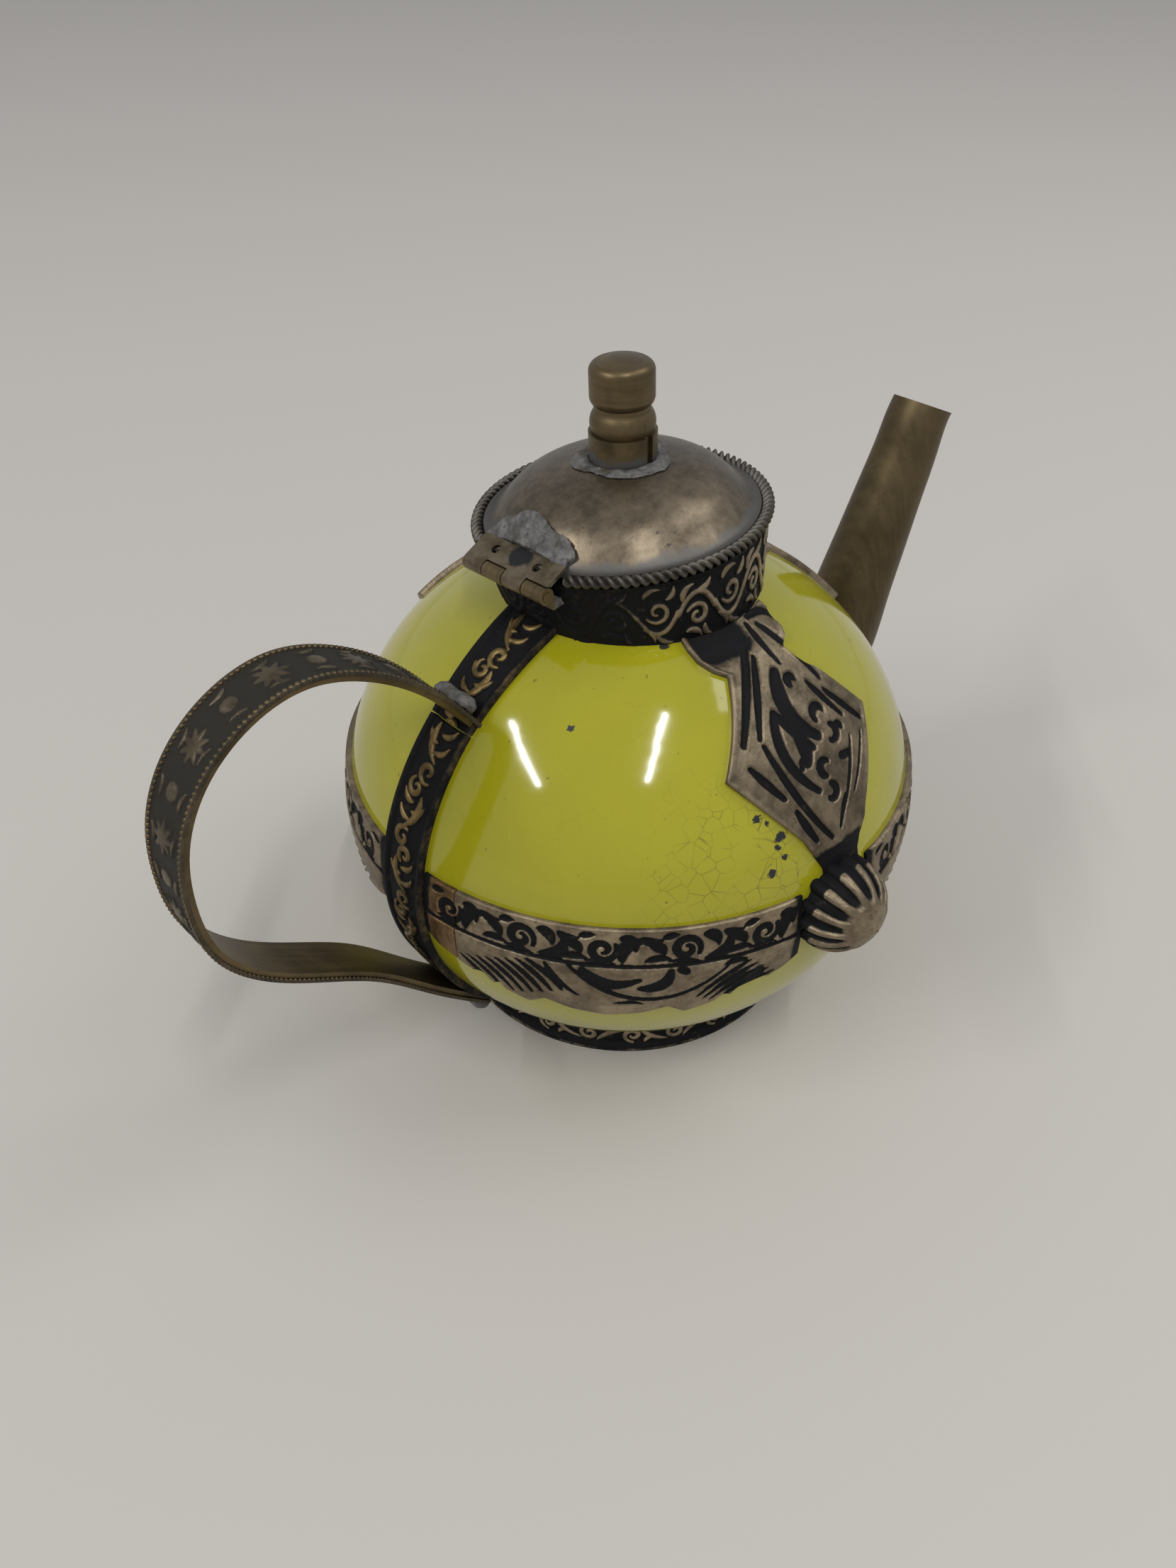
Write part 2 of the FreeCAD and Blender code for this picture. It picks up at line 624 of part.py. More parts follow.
def lid_rope_rim():
    """Bar bent round the flange, open where the hinge sits."""
    ring_radius = LID_FLANGE_RADIUS + SEAT_GAP + ROPE_RADIUS
    circle = Part.makeCircle(ROPE_RADIUS, V(ring_radius, 0, 0), V(0, 1, 0))
    half_gap = HINGE_LENGTH / 2 + ROPE_END_GAP
    half_angle = math.degrees(math.asin(half_gap / (ring_radius - ROPE_RADIUS)))
    ring = Part.Face(Part.Wire([circle])).revolve(ORIGIN, Z_AXIS, 360 - 2 * half_angle).Solids[0]
    return turned(ring, 180 + half_angle)


def blob_prism(centre, reach_x, reach_y, waves, depth):
    """Upright prism with a wavy outline, for a run of solder."""
    points = []
    for index in range(28):
        turn = 2 * math.pi * index / 28
        swell = 1 + depth * math.sin(waves * turn + 0.6) + depth * 0.6 * math.cos((waves + 2) * turn)
        points.append(V(centre[0] + reach_x * swell * math.cos(turn),
                        centre[1] + reach_y * swell * math.sin(turn), -LID_RISE))
    curve = Part.BSplineCurve()
    curve.interpolate(Points=points, PeriodicFlag=True)
    return Part.Face(Part.Wire([curve.toShape()])).extrude(V(0, 0, 3 * LID_RISE))


def knob_frame():
    """Frame of the knob, which stands straighter than the lid."""
    high = math.radians(SEAT_HIGH_AZIMUTH)
    aside = V(KNOB_SHIFT * math.cos(high), KNOB_SHIFT * math.sin(high), FLANGE_TOP_Z + LID_RISE)
    foot = SEAT.multVec(aside)
    return seat_placement(foot, KNOB_TILT)


def knob_ferrule(frame):
    """Sheet sleeve whose ends don't quite meet."""
    start = V(0, 0, -FERRULE_HEIGHT / 2)
    tube = Part.makeCylinder(FERRULE_RADIUS, 1.5 * FERRULE_HEIGHT, start)
    tube = tube.cut(Part.makeCylinder(FERRULE_RADIUS - FERRULE_THICK, 1.5 * FERRULE_HEIGHT, start))
    seam = Part.makeBox(2 * FERRULE_RADIUS, FERRULE_SEAM, 4 * FERRULE_HEIGHT,
                        V(0, -FERRULE_SEAM / 2, -FERRULE_HEIGHT))
    tube = tube.cut(turned(seam, FERRULE_SEAM_AZIMUTH))
    return seated(tube, frame).cut(seated(lid_skin(SEAT_GAP)))


def knob_finial(frame):
    """Turned stem, ring, neck and flat-topped cap."""
    stem = FERRULE_RADIUS - FERRULE_THICK - STEM_CLEARANCE
    ring_low = FERRULE_HEIGHT + SEAT_GAP
    neck_low = ring_low + KNOB_RING_HEIGHT
    cap_low = neck_low + KNOB_NECK_HEIGHT
    cap_high = cap_low + KNOB_CAP_HEIGHT - KNOB_CROWN_RISE
    sink = -FERRULE_HEIGHT / 2
    shoulder = KNOB_CAP_RADIUS - KNOB_CAP_ROUND
    ring = [V(KNOB_RING_RADIUS - 0.4, 0, ring_low), V(KNOB_RING_RADIUS, 0, (ring_low + neck_low) / 2),
            V(KNOB_RING_RADIUS - 0.6, 0, neck_low)]
    waist = V(KNOB_NECK_RADIUS, 0, (neck_low + cap_low) / 2)
    foot = [V(KNOB_CAP_RADIUS - KNOB_CAP_FOOT / 2, 0, cap_low),
            V(KNOB_CAP_RADIUS - KNOB_CAP_FOOT / 7, 0, cap_low + KNOB_CAP_FOOT / 2.5),
            V(KNOB_CAP_RADIUS, 0, cap_low + KNOB_CAP_FOOT)]
    cap = V(KNOB_CAP_RADIUS, 0, cap_high - KNOB_CAP_ROUND)
    turn = KNOB_CAP_ROUND * math.sqrt(0.5)
    corner = V(shoulder + turn, 0, cap_high - KNOB_CAP_ROUND + turn)
    crown_radius = (shoulder ** 2 + KNOB_CROWN_RISE ** 2) / (2 * KNOB_CROWN_RISE)
    half = math.asin(shoulder / crown_radius) / 2
    top = V(0, 0, cap_high + KNOB_CROWN_RISE)
    crown = V(crown_radius * math.sin(half), 0, top.z - crown_radius * (1 - math.cos(half)))
    edge = V(shoulder, 0, cap_high)
    edges = [line(V(0, 0, sink), V(stem, 0, sink)), line(V(stem, 0, sink), V(stem, 0, ring_low)),
             line(V(stem, 0, ring_low), ring[0]), arc(*ring), arc(ring[2], waist, foot[0]), arc(*foot),
             line(foot[2], cap), arc(cap, corner, edge), arc(edge, crown, top), line(top, V(0, 0, sink))]
    turned_body = Part.Face(Part.Wire(edges)).revolve(ORIGIN, Z_AXIS, 360).Solids[0]
    return seated(turned_body, frame).cut(seated(lid_skin(SEAT_GAP)))


def knob_solder(frame):
    """Run of solder round the ferrule's foot."""
    high = math.radians(SEAT_HIGH_AZIMUTH)
    middle = (KNOB_SHIFT * math.cos(high), KNOB_SHIFT * math.sin(high))
    puddle = blob_prism(middle, KNOB_PUDDLE_RADIUS, KNOB_PUDDLE_RADIUS, 3, 0.06)
    puddle = seated(puddle.common(lid_skin(SOLDER_THICK)).cut(lid_skin(SEAT_GAP)))
    core = Part.makeCylinder(FERRULE_RADIUS + SEAT_GAP, 4 * FERRULE_HEIGHT, V(0, 0, -2 * FERRULE_HEIGHT))
    return puddle.cut(seated(core, frame))


def knob():
    frame = knob_frame()
    keep("knob_ferrule", knob_ferrule(frame))
    keep("knob_finial", knob_finial(frame))
    keep("knob_solder", knob_solder(frame))


def knuckle_span(index, grow=0.0):
    """Ends of one knuckle along the hinge, counted from the left end."""
    pitch = HINGE_LENGTH / KNUCKLES
    high = HINGE_LENGTH / 2 - index * pitch
    return high - pitch + KNUCKLE_GAP / 2 - grow, high - KNUCKLE_GAP / 2 + grow


def hinge_barrel(indices, radius, grow=0.0):
    """Cylinders along the hinge axis for a set of knuckles."""
    barrels = []
    for index in indices:
        low, high = knuckle_span(index, grow)
        barrels.append(Part.makeCylinder(radius, high - low, V(HINGE_X, low, HINGE_Z), V(0, 1, 0)))
    return barrels


def pin_bore():
    length = HINGE_LENGTH + 4
    return Part.makeCylinder(PIN_RADIUS + PIN_CLEARANCE, length, V(HINGE_X, -length / 2, HINGE_Z), V(0, 1, 0))


def leaf_with_knuckles(leaf, own, other):
    """Join a leaf to its knuckles and clear room for the other leaf's."""
    leaf = leaf.multiFuse(hinge_barrel(own, KNUCKLE_RADIUS))
    for room in hinge_barrel(other, KNUCKLE_RADIUS + KNUCKLE_GAP, KNUCKLE_GAP):
        leaf = leaf.cut(room)
    return leaf.cut(pin_bore()).removeSplitter()


def sloped(shape):
    """Turn a leaf about the hinge axis so that its inner end rests on the flange."""
    copy = shape.copy()
    copy.rotate(V(HINGE_X, 0, HINGE_Z), V(0, 1, 0), -LEAF_SLOPE)
    return copy


def hinge_leaf_lid():
    """Sloping leaf with two screw holes and two knuckles."""
    width = HINGE_LENGTH - KNUCKLE_GAP
    low = HINGE_Z + KNUCKLE_RADIUS - LEAF_THICK
    leaf = Part.makeBox(LEAF_REACH, width, LEAF_THICK, V(HINGE_X, -width / 2, low))
    for side in (-1, 1):
        place = V(HINGE_X + 0.6 * LEAF_REACH, side * LEAF_SCREW_SPREAD, low - LEAF_THICK)
        leaf = leaf.cut(Part.makeCylinder(LEAF_SCREW_RADIUS, 3 * LEAF_THICK, place))
    return leaf_with_knuckles(sloped(leaf), (0, 2), (1, 3)).cut(lid_skin(SEAT_GAP, SEAT_GAP))


def hinge_leaf_collar():
    """Short upright leaf behind the collar with two knuckles."""
    width = HINGE_LENGTH - KNUCKLE_GAP
    corner = V(PLATE_BACK_X - LEAF_THICK, -width / 2, HINGE_Z - LEAF_DROP)
    leaf = Part.makeBox(LEAF_THICK, width, LEAF_DROP, corner)
    return leaf_with_knuckles(leaf, (1, 3), (0, 2))


def collar_solder():
    """Solder that fills the wedge between the flat leaf and the round collar."""
    width = HINGE_LENGTH - 2 * LEAF_THICK
    depth = COLLAR_TOP_RADIUS / 4
    top = HINGE_Z - KNUCKLE_RADIUS - KNUCKLE_GAP
    low = HINGE_Z - LEAF_DROP - LEAF_THICK
    box = Part.makeBox(depth, width, top - low, V(PLATE_BACK_X + SEAT_GAP, -width / 2, low))
    return seated(box).cut(collar_cone(SEAT_GAP))


def lid_solder():
    """Solder that runs from the hinge leaf up on to the dome."""
    middle = -LID_FLANGE_RADIUS + 2 * KNUCKLE_RADIUS
    blob = blob_prism((middle, 0), 2 * KNUCKLE_RADIUS, HINGE_LENGTH / 2, 5, 0.10)
    layer = blob.common(lid_skin(LEAF_THICK + SOLDER_THICK)).cut(lid_skin(SEAT_GAP))
    width = HINGE_LENGTH + 2 * SEAT_GAP
    low = HINGE_Z + KNUCKLE_RADIUS - LEAF_THICK - SEAT_GAP
    room = sloped(Part.makeBox(LEAF_REACH + SEAT_GAP, width, 3 * LEAF_THICK, V(HINGE_X, -width / 2, low)))
    pieces = layer.cut(room).cut(lid_rope_rim()).Solids
    return max(pieces, key=lambda solid: solid.Volume)


def hinge():
    keep("hinge_leaf_lid", seated(hinge_leaf_lid()))
    keep("hinge_leaf_collar", seated(hinge_leaf_collar()))
    pin = Part.makeCylinder(PIN_RADIUS, HINGE_LENGTH, V(HINGE_X, -HINGE_LENGTH / 2, HINGE_Z), V(0, 1, 0))
    keep("hinge_pin", seated(pin))
    keep("hinge_solder_collar", collar_solder())
    keep("hinge_solder_lid", seated(lid_solder()))


def report_hinge():
    """Print the hinge's place and direction in metres."""
    place = SEAT.multVec(V(HINGE_X, 0, HINGE_Z))
    axis = SEAT.Rotation.multVec(V(0, -1, 0))
    print("hinge_pos_m", [round(value / 1000, 6) for value in place])
    print("hinge_axis", [round(value, 6) for value in axis])


def main():
    os.makedirs("parts", exist_ok=True)
    keep("ceramic_body", ceramic_body())
    keep("foot_ring", foot_ring())
    belly_bands()
    side_fittings()
    handle_straps()
    handle()
    keep("spout_tube", spout_tube())
    keep("collar", collar())
    keep("lid_dome", seated(lid_dome()))
    keep("lid_rope_rim", seated(lid_rope_rim()))
    knob()
    hinge()
    for name in sorted(PARTS):
        PARTS[name].exportStep("parts/" + name + ".step")
    report_hinge()


main()
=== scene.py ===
import math

import bpy
import numpy as np
from mathutils import Matrix, Vector, noise


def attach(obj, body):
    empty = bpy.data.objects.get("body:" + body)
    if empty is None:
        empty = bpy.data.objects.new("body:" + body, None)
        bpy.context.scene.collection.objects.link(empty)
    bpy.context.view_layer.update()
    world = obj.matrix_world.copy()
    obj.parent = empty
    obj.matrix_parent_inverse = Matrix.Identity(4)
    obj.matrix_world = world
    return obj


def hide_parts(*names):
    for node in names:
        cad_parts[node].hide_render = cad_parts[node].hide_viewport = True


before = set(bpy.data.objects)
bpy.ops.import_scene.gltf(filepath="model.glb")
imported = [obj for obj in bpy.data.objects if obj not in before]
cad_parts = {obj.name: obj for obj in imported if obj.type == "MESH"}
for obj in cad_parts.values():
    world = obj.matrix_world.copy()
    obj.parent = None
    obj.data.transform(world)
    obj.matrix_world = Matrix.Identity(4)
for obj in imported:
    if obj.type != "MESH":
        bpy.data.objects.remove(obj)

bl_info = {
    "name": "Metal-mounted ceramic teapot",
    "version": (1, 0, 0),
    "blender": (4, 5, 0),
    "location": "3D View > Sidebar > Teapot",
    "description": "Dresses the packed teapot with glaze, chased metal and a rope rim",
    "category": "Object",
}

MM = 0.001
FULL_TURN = 2 * math.pi

# Places round the pot
STRAP_AZIMUTH = math.pi
SIDE_TURN = math.radians(92.5)
BOSS_TURN = math.radians(94.0)

# Tilted seat of the lid, in metres
SEAT_CENTRE = (-0.0024, 0.0013, 0.1289)
SEAT_LEAN = math.radians(5.3)
SEAT_HIGH_SIDE = math.radians(-43.5)

# Marks on the finishes: their places, and the limits between which they fade, in metres
CRAZED_SPOT = (-0.026, -0.062, 0.072)
CRAZED_FADE = (0.004, 0.034)
GLAZE_CHIPS = [((-0.0406, -0.0233, 0.1023), 0.0008), ((-0.0203, -0.0572, 0.0870), 0.0010),
               ((-0.0189, -0.0585, 0.0858), 0.0007), ((-0.0168, -0.0611, 0.0826), 0.0014),
               ((-0.0181, -0.0617, 0.0807), 0.0008), ((-0.0170, -0.0631, 0.0784), 0.0009),
               ((-0.0208, -0.0630, 0.0758), 0.0011), ((-0.0159, -0.0254, 0.1122), 0.0013)]
LID_MIDDLE = (-0.0024, 0.0013, 0.1300)
LID_RUN_FADE = (0.0270, 0.0284)
FERRULE_SMEAR_FADE = (0.1425, 0.1440)
HINGE_SCORCH = (-0.0315, 0.0005, 0.1275)
HINGE_SCORCH_FADE = (0.0026, 0.0040)

# Chased finishes: ground, metal, its shade, relief where the wear starts and ends, shine
CHASED_FINISHES = {
    "chased": ("patina", "sheet", 1.0, 0.42, 0.72, 0.5),
    "copper": ("patina", "copper", 1.0, 0.42, 0.72, 0.4),
    "plate": ("patina", "sheet", 0.78, 0.42, 0.72, 0.5),
    "foot": ("patina", "sheet", 1.35, 0.48, 0.74, 0.8),
    "strap": ("patina", "gold", 0.62, 0.46, 0.80, 0.5),
    "collar": ("patina", "sheet", 1.1, 0.50, 0.78, 0.7),
    "handle": ("soot", "sheet", 0.55, 0.45, 0.90, 0.3),
}

# Plain finishes: metal, its shade, roughness, scale of the streaks on each axis, mottling
PLAIN_FINISHES = {
    "brass": ("brass", 1.0, 0.40, (30.0, 900.0, 30.0), 0.5),
    "spout": ("brass", 0.82, 0.46, (900.0, 120.0, 120.0), 0.3),
    "knob": ("brass", 1.0, 0.42, (60.0, 60.0, 1500.0), 0.3),
    "rope": ("rope", 1.0, 0.50, (90.0, 90.0, 90.0), 0.5),
}

# Finishes of the solids that are kept
KEPT_SOLIDS = {
    "handle_inner_strip": "brass", "spout_tube": "spout", "lid_dome": "lid", "knob_ferrule": "ferrule",
    "knob_finial": "knob", "hinge_leaf_lid": "leaf", "hinge_leaf_collar": "brass", "hinge_pin": "brass",
}

# Sockets of a colour Mix node, whose names repeat
MIX_FACTOR = 0
MIX_FIRST = 6
MIX_SECOND = 7
MIX_RESULT = 2

# Points along a short stroke, a curl and a vine, and steps that measure an arc
STROKE_POINTS = 14
CURL_POINTS = 26
VINE_POINTS = 20
ARC_STEPS = 2000

# Depth of a chased sheet's edge in the ball; sizes from here to the solder are in millimetres
EDGE_SINK = 0.2

# Belly bands: room left at the strap, the bosses and the spout, length of the splice and the dark ends
BAND_LOWEST = 42.0
STRAP_ROOM = 7.0
BOSS_ROOM = 10.6
SPOUT_ROOM = 13.9
SPLICE_RUN = 9.0
BAND_BUTT = 0.4
BAND_DARK_END = 4.5
FRIEZE_SCROLLS = 5
WING_STROKES = 8

# Shoulder plates: their ends, the run and width that their grid is counted on, metal under the relief
PLATE_TOP_Z = 112.3
PLATE_END_Z = 69.5
PLATE_RUN = 48.0
PLATE_WIDTH = 40.0
PLATE_BASE = 0.55

# Side bosses: height, radius, number of ribs, depth of the flutes, nub and dent
BOSS_Z = 61.69
BOSS_RADIUS = 11.3
BOSS_RIBS = 14
BOSS_FLUTE = 1.35
BOSS_NUB = 0.75
BOSS_DENT = 1.2

# Handle straps: upper and lower height with the half width at each, then rails and length of a pattern
STRAPS = {
    "handle_strap_upper": (112.3, 96.8, 7.0, 5.8),
    "handle_strap_lower": (96.5, 11.5, 5.8, 6.6),
}
STRAP_WIDTH = 13.0
STRAP_BASE = 1.1
STRAP_RAIL = 1.4
STRAP_RAIL_RISE = 1.1
STRAP_RAIL_WEAR = 0.50
STRAP_PATTERN = 17.0

# Collar: its top is given in the frame of the lid's seat, and the ball hides its start
COLLAR_LOW_RADIUS = 29.4
COLLAR_LOW_Z = 108.0
COLLAR_TOP_RADIUS = 31.5
COLLAR_TOP_Z = -1.7
COLLAR_START = 0.18
COLLAR_INSIDE = 0.5
COLLAR_RADIUS = 31.0
COLLAR_RUN = 16.0
COLLAR_TALL = 15.0
COLLAR_SINK = 0.25
COLLAR_LIP = 0.1
COLLAR_WALL = 1.3
COLLAR_BENDS = 22

# Foot ring, with a coarser grid along it
FOOT_RADIUS = 46.8
FOOT_INSIDE = 45.5
FOOT_TALL = 9.4
FOOT_RUN = 9.0
FOOT_COARSER = 1.3
FOOT_SINK = 0.1
FOOT_SCROLLS = 26
FOOT_SCROLL_Z = 5.1

# Loop handle: its side view from the upper to the lower end, and its outer strip
HANDLE_KNOTS = [(48.5, 92.5), (62.5, 111.3), (75.0, 121.3), (88.5, 125.9), (101.5, 122.6), (110.5, 115.0),
                (115.7, 105.0), (117.4, 92.5), (115.0, 77.5), (107.5, 66.5), (84.0, 47.5), (70.0, 32.0),
                (61.0, 22.0), (53.0, 14.0)]
HANDLE_POINTS = 1100
HANDLE_HALF = 6.5
HANDLE_FACE = 1.75
HANDLE_EDGE = 1.25
HANDLE_PATTERN = 8.4
BEAD_SIDE = 5.95
BEAD_LIFT = 1.72
BEAD_SPACING = 1.25
BEAD_RADIUS = 0.6

# Rope rim, open at the hinge
ROPE_RADIUS = 31.63
ROPE_GAP = math.radians(24.5)
ROPE_POINTS = 400
ROPE_SAMPLES = 760
ROPE_SIDES = 10
ROPE_TURNS = 44.0
ROPE_STRAND = 0.78
ROPE_OFFSET = 0.64

# Solder: the body of each run, and its skin with lumps and grains per metre
SOLDER_RUNS = {
    "handle_solder_top": "pot", "handle_solder_bottom": "pot", "hinge_solder_collar": "pot",
    "hinge_solder_lid": "lid", "knob_solder": "lid",
}
SOLDER_VOXEL = 0.22
SOLDER_SWELL = 0.35
SOLDER_LUMPS = 420.0
SOLDER_GRAINS = 1100.0

# Stage, in metres: each lamp has its two ends, its width and its power
FLOOR_REACH = 3.0
WORLD_STRENGTH = 0.54
LAMPS = [("tube_left", (-1.51, 0.87, 1.93), (-2.08, -0.14, 1.55), 0.04, 17.0),
         ("tube_front", (-0.11, -0.88, 2.46), (-1.04, -1.46, 1.89), 0.04, 17.0),
         ("soft_right", (0.55, -0.45, 1.5), (1.25, -0.75, 1.3), 0.8, 6.0)]
CAMERA_PLACE = (-0.1675, -0.1621, 0.2444)
CAMERA_AIM = (-0.0072, 0.0068, 0.0501)
CAMERA_LENS = 26.62
CAMERA_SENSOR = 36.0
CAMERA_NEAR = 0.01


def length(name, description, default):
    """Property for a size in metres."""
    return bpy.props.FloatProperty(name=name, description=description, default=default, unit="LENGTH",
                                   precision=5)


def colour(name, description, default):
    """Property for a linear colour."""
    return bpy.props.FloatVectorProperty(name=name, description=description, default=default, subtype="COLOR",
                                         size=3, min=0.0, max=1.0)


class TEAPOT_PG_sizes(bpy.types.PropertyGroup):
    """Sizes shared by the chased pieces."""
    ball_radius: length("Ball radius", "Half of the ball's width", 0.070)
    ball_half_height: length("Ball half height", "Half of the ball's full height", 0.0621)
    ball_centre: length("Ball centre", "Height of the ball's centre", 0.0561)
    grid: length("Relief grid", "Distance between points of the chased sheets", 0.00026)
    relief: length("Relief height", "Height of the chased ornament", 0.0007)
    band_top: length("Band top", "Height of the band's upper edge", 0.0686)
    band_crease: length("Band crease", "Height of the line between the band's tiers", 0.0592)
    band_thick: length("Band thickness", "Thickness of the belly band", 0.0013)


class TEAPOT_PG_looks(bpy.types.PropertyGroup):
    """Colours of the finishes."""
    glaze: colour("Glaze", "Yellow-green of the glaze", (0.345, 0.322, 0.010))
    patina: colour("Patina", "Black in the recesses", (0.006, 0.006, 0.007))
    soot: colour("Soot", "Brown-grey ground of the handle", (0.026, 0.023, 0.018))
    sheet: colour("Sheet", "Worn overlay metal", (0.270, 0.215, 0.142))
    copper: colour("Copper", "Redder metal of the splice", (0.270, 0.165, 0.080))
    gold: colour("Gold", "Worn scrolls on the black pieces", (0.36, 0.25, 0.10))
    brass: colour("Brass", "Plain tarnished brass", (0.125, 0.092, 0.046))
    lid: colour("Lid", "Mottled sheet of the lid", (0.165, 0.132, 0.092))
    tin: colour("Tin", "Dull tin and solder", (0.125, 0.121, 0.114))
    rope: colour("Rope", "Dull twisted rim", (0.115, 0.103, 0.088))
    stain: colour("Stain", "Brown stain in the crazing", (0.06, 0.048, 0.004))
    speck: colour("Speck", "Dark specks in the glaze", (0.05, 0.035, 0.006))
    pore: colour("Pore", "Dark pores in the solder", (0.02, 0.02, 0.022))
    floor: colour("Floor", "Pale floor", (0.53, 0.50, 0.46))
    air: colour("Surroundings", "Soft light from all round", (0.86, 0.87, 0.90))


class Sock:
    """Output socket of a shader node that takes part in arithmetic."""

    def __init__(self, graph, socket):
        self.graph = graph
        self.socket = socket

    def maths(self, operation, *values):
        node = self.graph.tree.nodes.new("ShaderNodeMath")
        node.operation = operation
        for slot, value in zip(node.inputs, values):
            self.graph.feed(slot, value)
        return Sock(self.graph, node.outputs[0])

    def __add__(self, other):
        return self.maths("ADD", self, other)

    def __radd__(self, other):
        return self.maths("ADD", other, self)

    def __sub__(self, other):
        return self.maths("SUBTRACT", self, other)

    def __rsub__(self, other):
        return self.maths("SUBTRACT", other, self)

    def __mul__(self, other):
        return self.maths("MULTIPLY", self, other)

    def __rmul__(self, other):
        return self.maths("MULTIPLY", other, self)

    def __truediv__(self, other):
        return self.maths("DIVIDE", self, other)

    def clamp(self):
        return self.maths("MINIMUM", self.maths("MAXIMUM", self, 0.0), 1.0)

    def rise(self, low, high):
        """Smooth step from 0 at low to 1 at high."""
        share = ((self - low) / (high - low)).clamp()
        return share * share * (3.0 - 2.0 * share)


class Graph:
    """Material with one principled surface and short ways to add nodes."""

    def __init__(self, name, **constants):
        self.material = bpy.data.materials.new(name)
        self.material.use_nodes = True
        self.tree = self.material.node_tree
        self.surface = self.tree.nodes["Principled BSDF"]
        for key, value in constants.items():
            self.surface.inputs[key.replace("_", " ")].default_value = value
        self.place = self.add("ShaderNodeTexCoord", "Object")

    def feed(self, slot, value):
        if isinstance(value, Sock):
            self.tree.links.new(value.socket, slot)
        else:
            slot.default_value = value

    def add(self, kind, output, settings=None, **inputs):
        """Add a node, set it up and return one of its outputs."""
        node = self.tree.nodes.new(kind)
        for key, value in (settings or {}).items():
            setattr(node, key, value)
        for key, value in inputs.items():
            self.feed(node.inputs[key.replace("_", " ")], value)
        return Sock(self, node.outputs[output])

    def noise(self, scale, detail=4.0, rough=0.55, place=None):
        return self.add("ShaderNodeTexNoise", "Fac", Vector=place or self.place, Scale=scale, Detail=detail,
                        Roughness=rough)

    def stretch(self, x, y, z):
        """Object coordinates scaled along each axis."""
        return self.add("ShaderNodeMapping", "Vector", Vector=self.place, Scale=(x, y, z))

    def turned(self, x, y, z):
        """Object coordinates turned about each axis."""
        return self.add("ShaderNodeMapping", "Vector", Vector=self.place, Rotation=(x, y, z))

    def distance(self, place):
        """Distance from a fixed place."""
        reach = self.add("ShaderNodeVectorMath", "Value", {"operation": "DISTANCE"}, Vector=self.place)
        reach.socket.node.inputs[1].default_value = place
        return reach

    def mix(self, factor, first, second):
        """Blend of two colours."""
        node = self.tree.nodes.new("ShaderNodeMix")
        node.data_type = "RGBA"
        self.feed(node.inputs[MIX_FACTOR], factor)
        for slot, shade in ((MIX_FIRST, first), (MIX_SECOND, second)):
            self.feed(node.inputs[slot], shade if isinstance(shade, Sock) else (*shade, 1.0))
        return Sock(self, node.outputs[MIX_RESULT])

    def attribute(self, name):
        return self.add("ShaderNodeAttribute", "Fac", {"attribute_name": name})

    def bump(self, height, strength, distance):
        return self.add("ShaderNodeBump", "Normal", Height=height, Strength=strength, Distance=distance)

    def shade(self, **inputs):
        """Link values to the surface and return the material."""
        for key, value in inputs.items():
            self.feed(self.surface.inputs[key.replace("_", " ")], value)
        return self.material


def shaded(base, factor):
    """Colour made lighter or darker."""
    return tuple(channel * factor for channel in base)


def glaze_material(looks):
    """Glossy glaze with crazing, specks, a pit and black chips beside the right plate."""
    g = Graph("glaze", Coat_Weight=0.20, Coat_Roughness=0.03, IOR=1.5, Specular_IOR_Level=0.55)
    tone = g.noise(22.0, 3.0)
    colour_now = g.mix(tone.rise(0.3, 0.7), shaded(looks.glaze, 0.92), shaded(looks.glaze, 1.06))
    cells = g.add("ShaderNodeTexVoronoi", "Distance", {"feature": "DISTANCE_TO_EDGE"},
                  Vector=g.turned(0.6, 0.4, 0.5), Scale=290.0, Randomness=0.72)
    near = 1.0 - g.distance(CRAZED_SPOT).rise(*CRAZED_FADE)
    cracks = (1.0 - cells.rise(0.003, 0.030)) * (0.10 + 0.9 * near) * g.noise(140.0).rise(0.36, 0.60)
    colour_now = g.mix(cracks.clamp() * 0.8, colour_now, looks.stain)
    specks = g.noise(620.0, 1.0).rise(0.74, 0.80) * 0.5
    spots = g.noise(170.0, 2.0).rise(0.765, 0.80) * 0.85
    colour_now = g.mix((specks + spots).clamp(), colour_now, looks.speck)
    chips = 0.0
    rough_edge = (g.noise(900.0, 2.0) - 0.5) * 0.002
    for place, reach in GLAZE_CHIPS:
        chips = chips + (1.0 - (g.distance(place) + rough_edge).rise(0.7 * reach, reach))
    chips = chips.clamp()
    colour_now = g.mix(chips, colour_now, looks.patina)
    height = g.noise(45.0, 2.0) * 0.5 - cracks * 0.08 - spots * 0.3 - chips * 0.4
    return g.shade(Base_Color=colour_now, Roughness=0.07 + 0.05 * g.noise(80.0) + 0.4 * chips,
                   Normal=g.bump(height, 0.10, 0.0008))


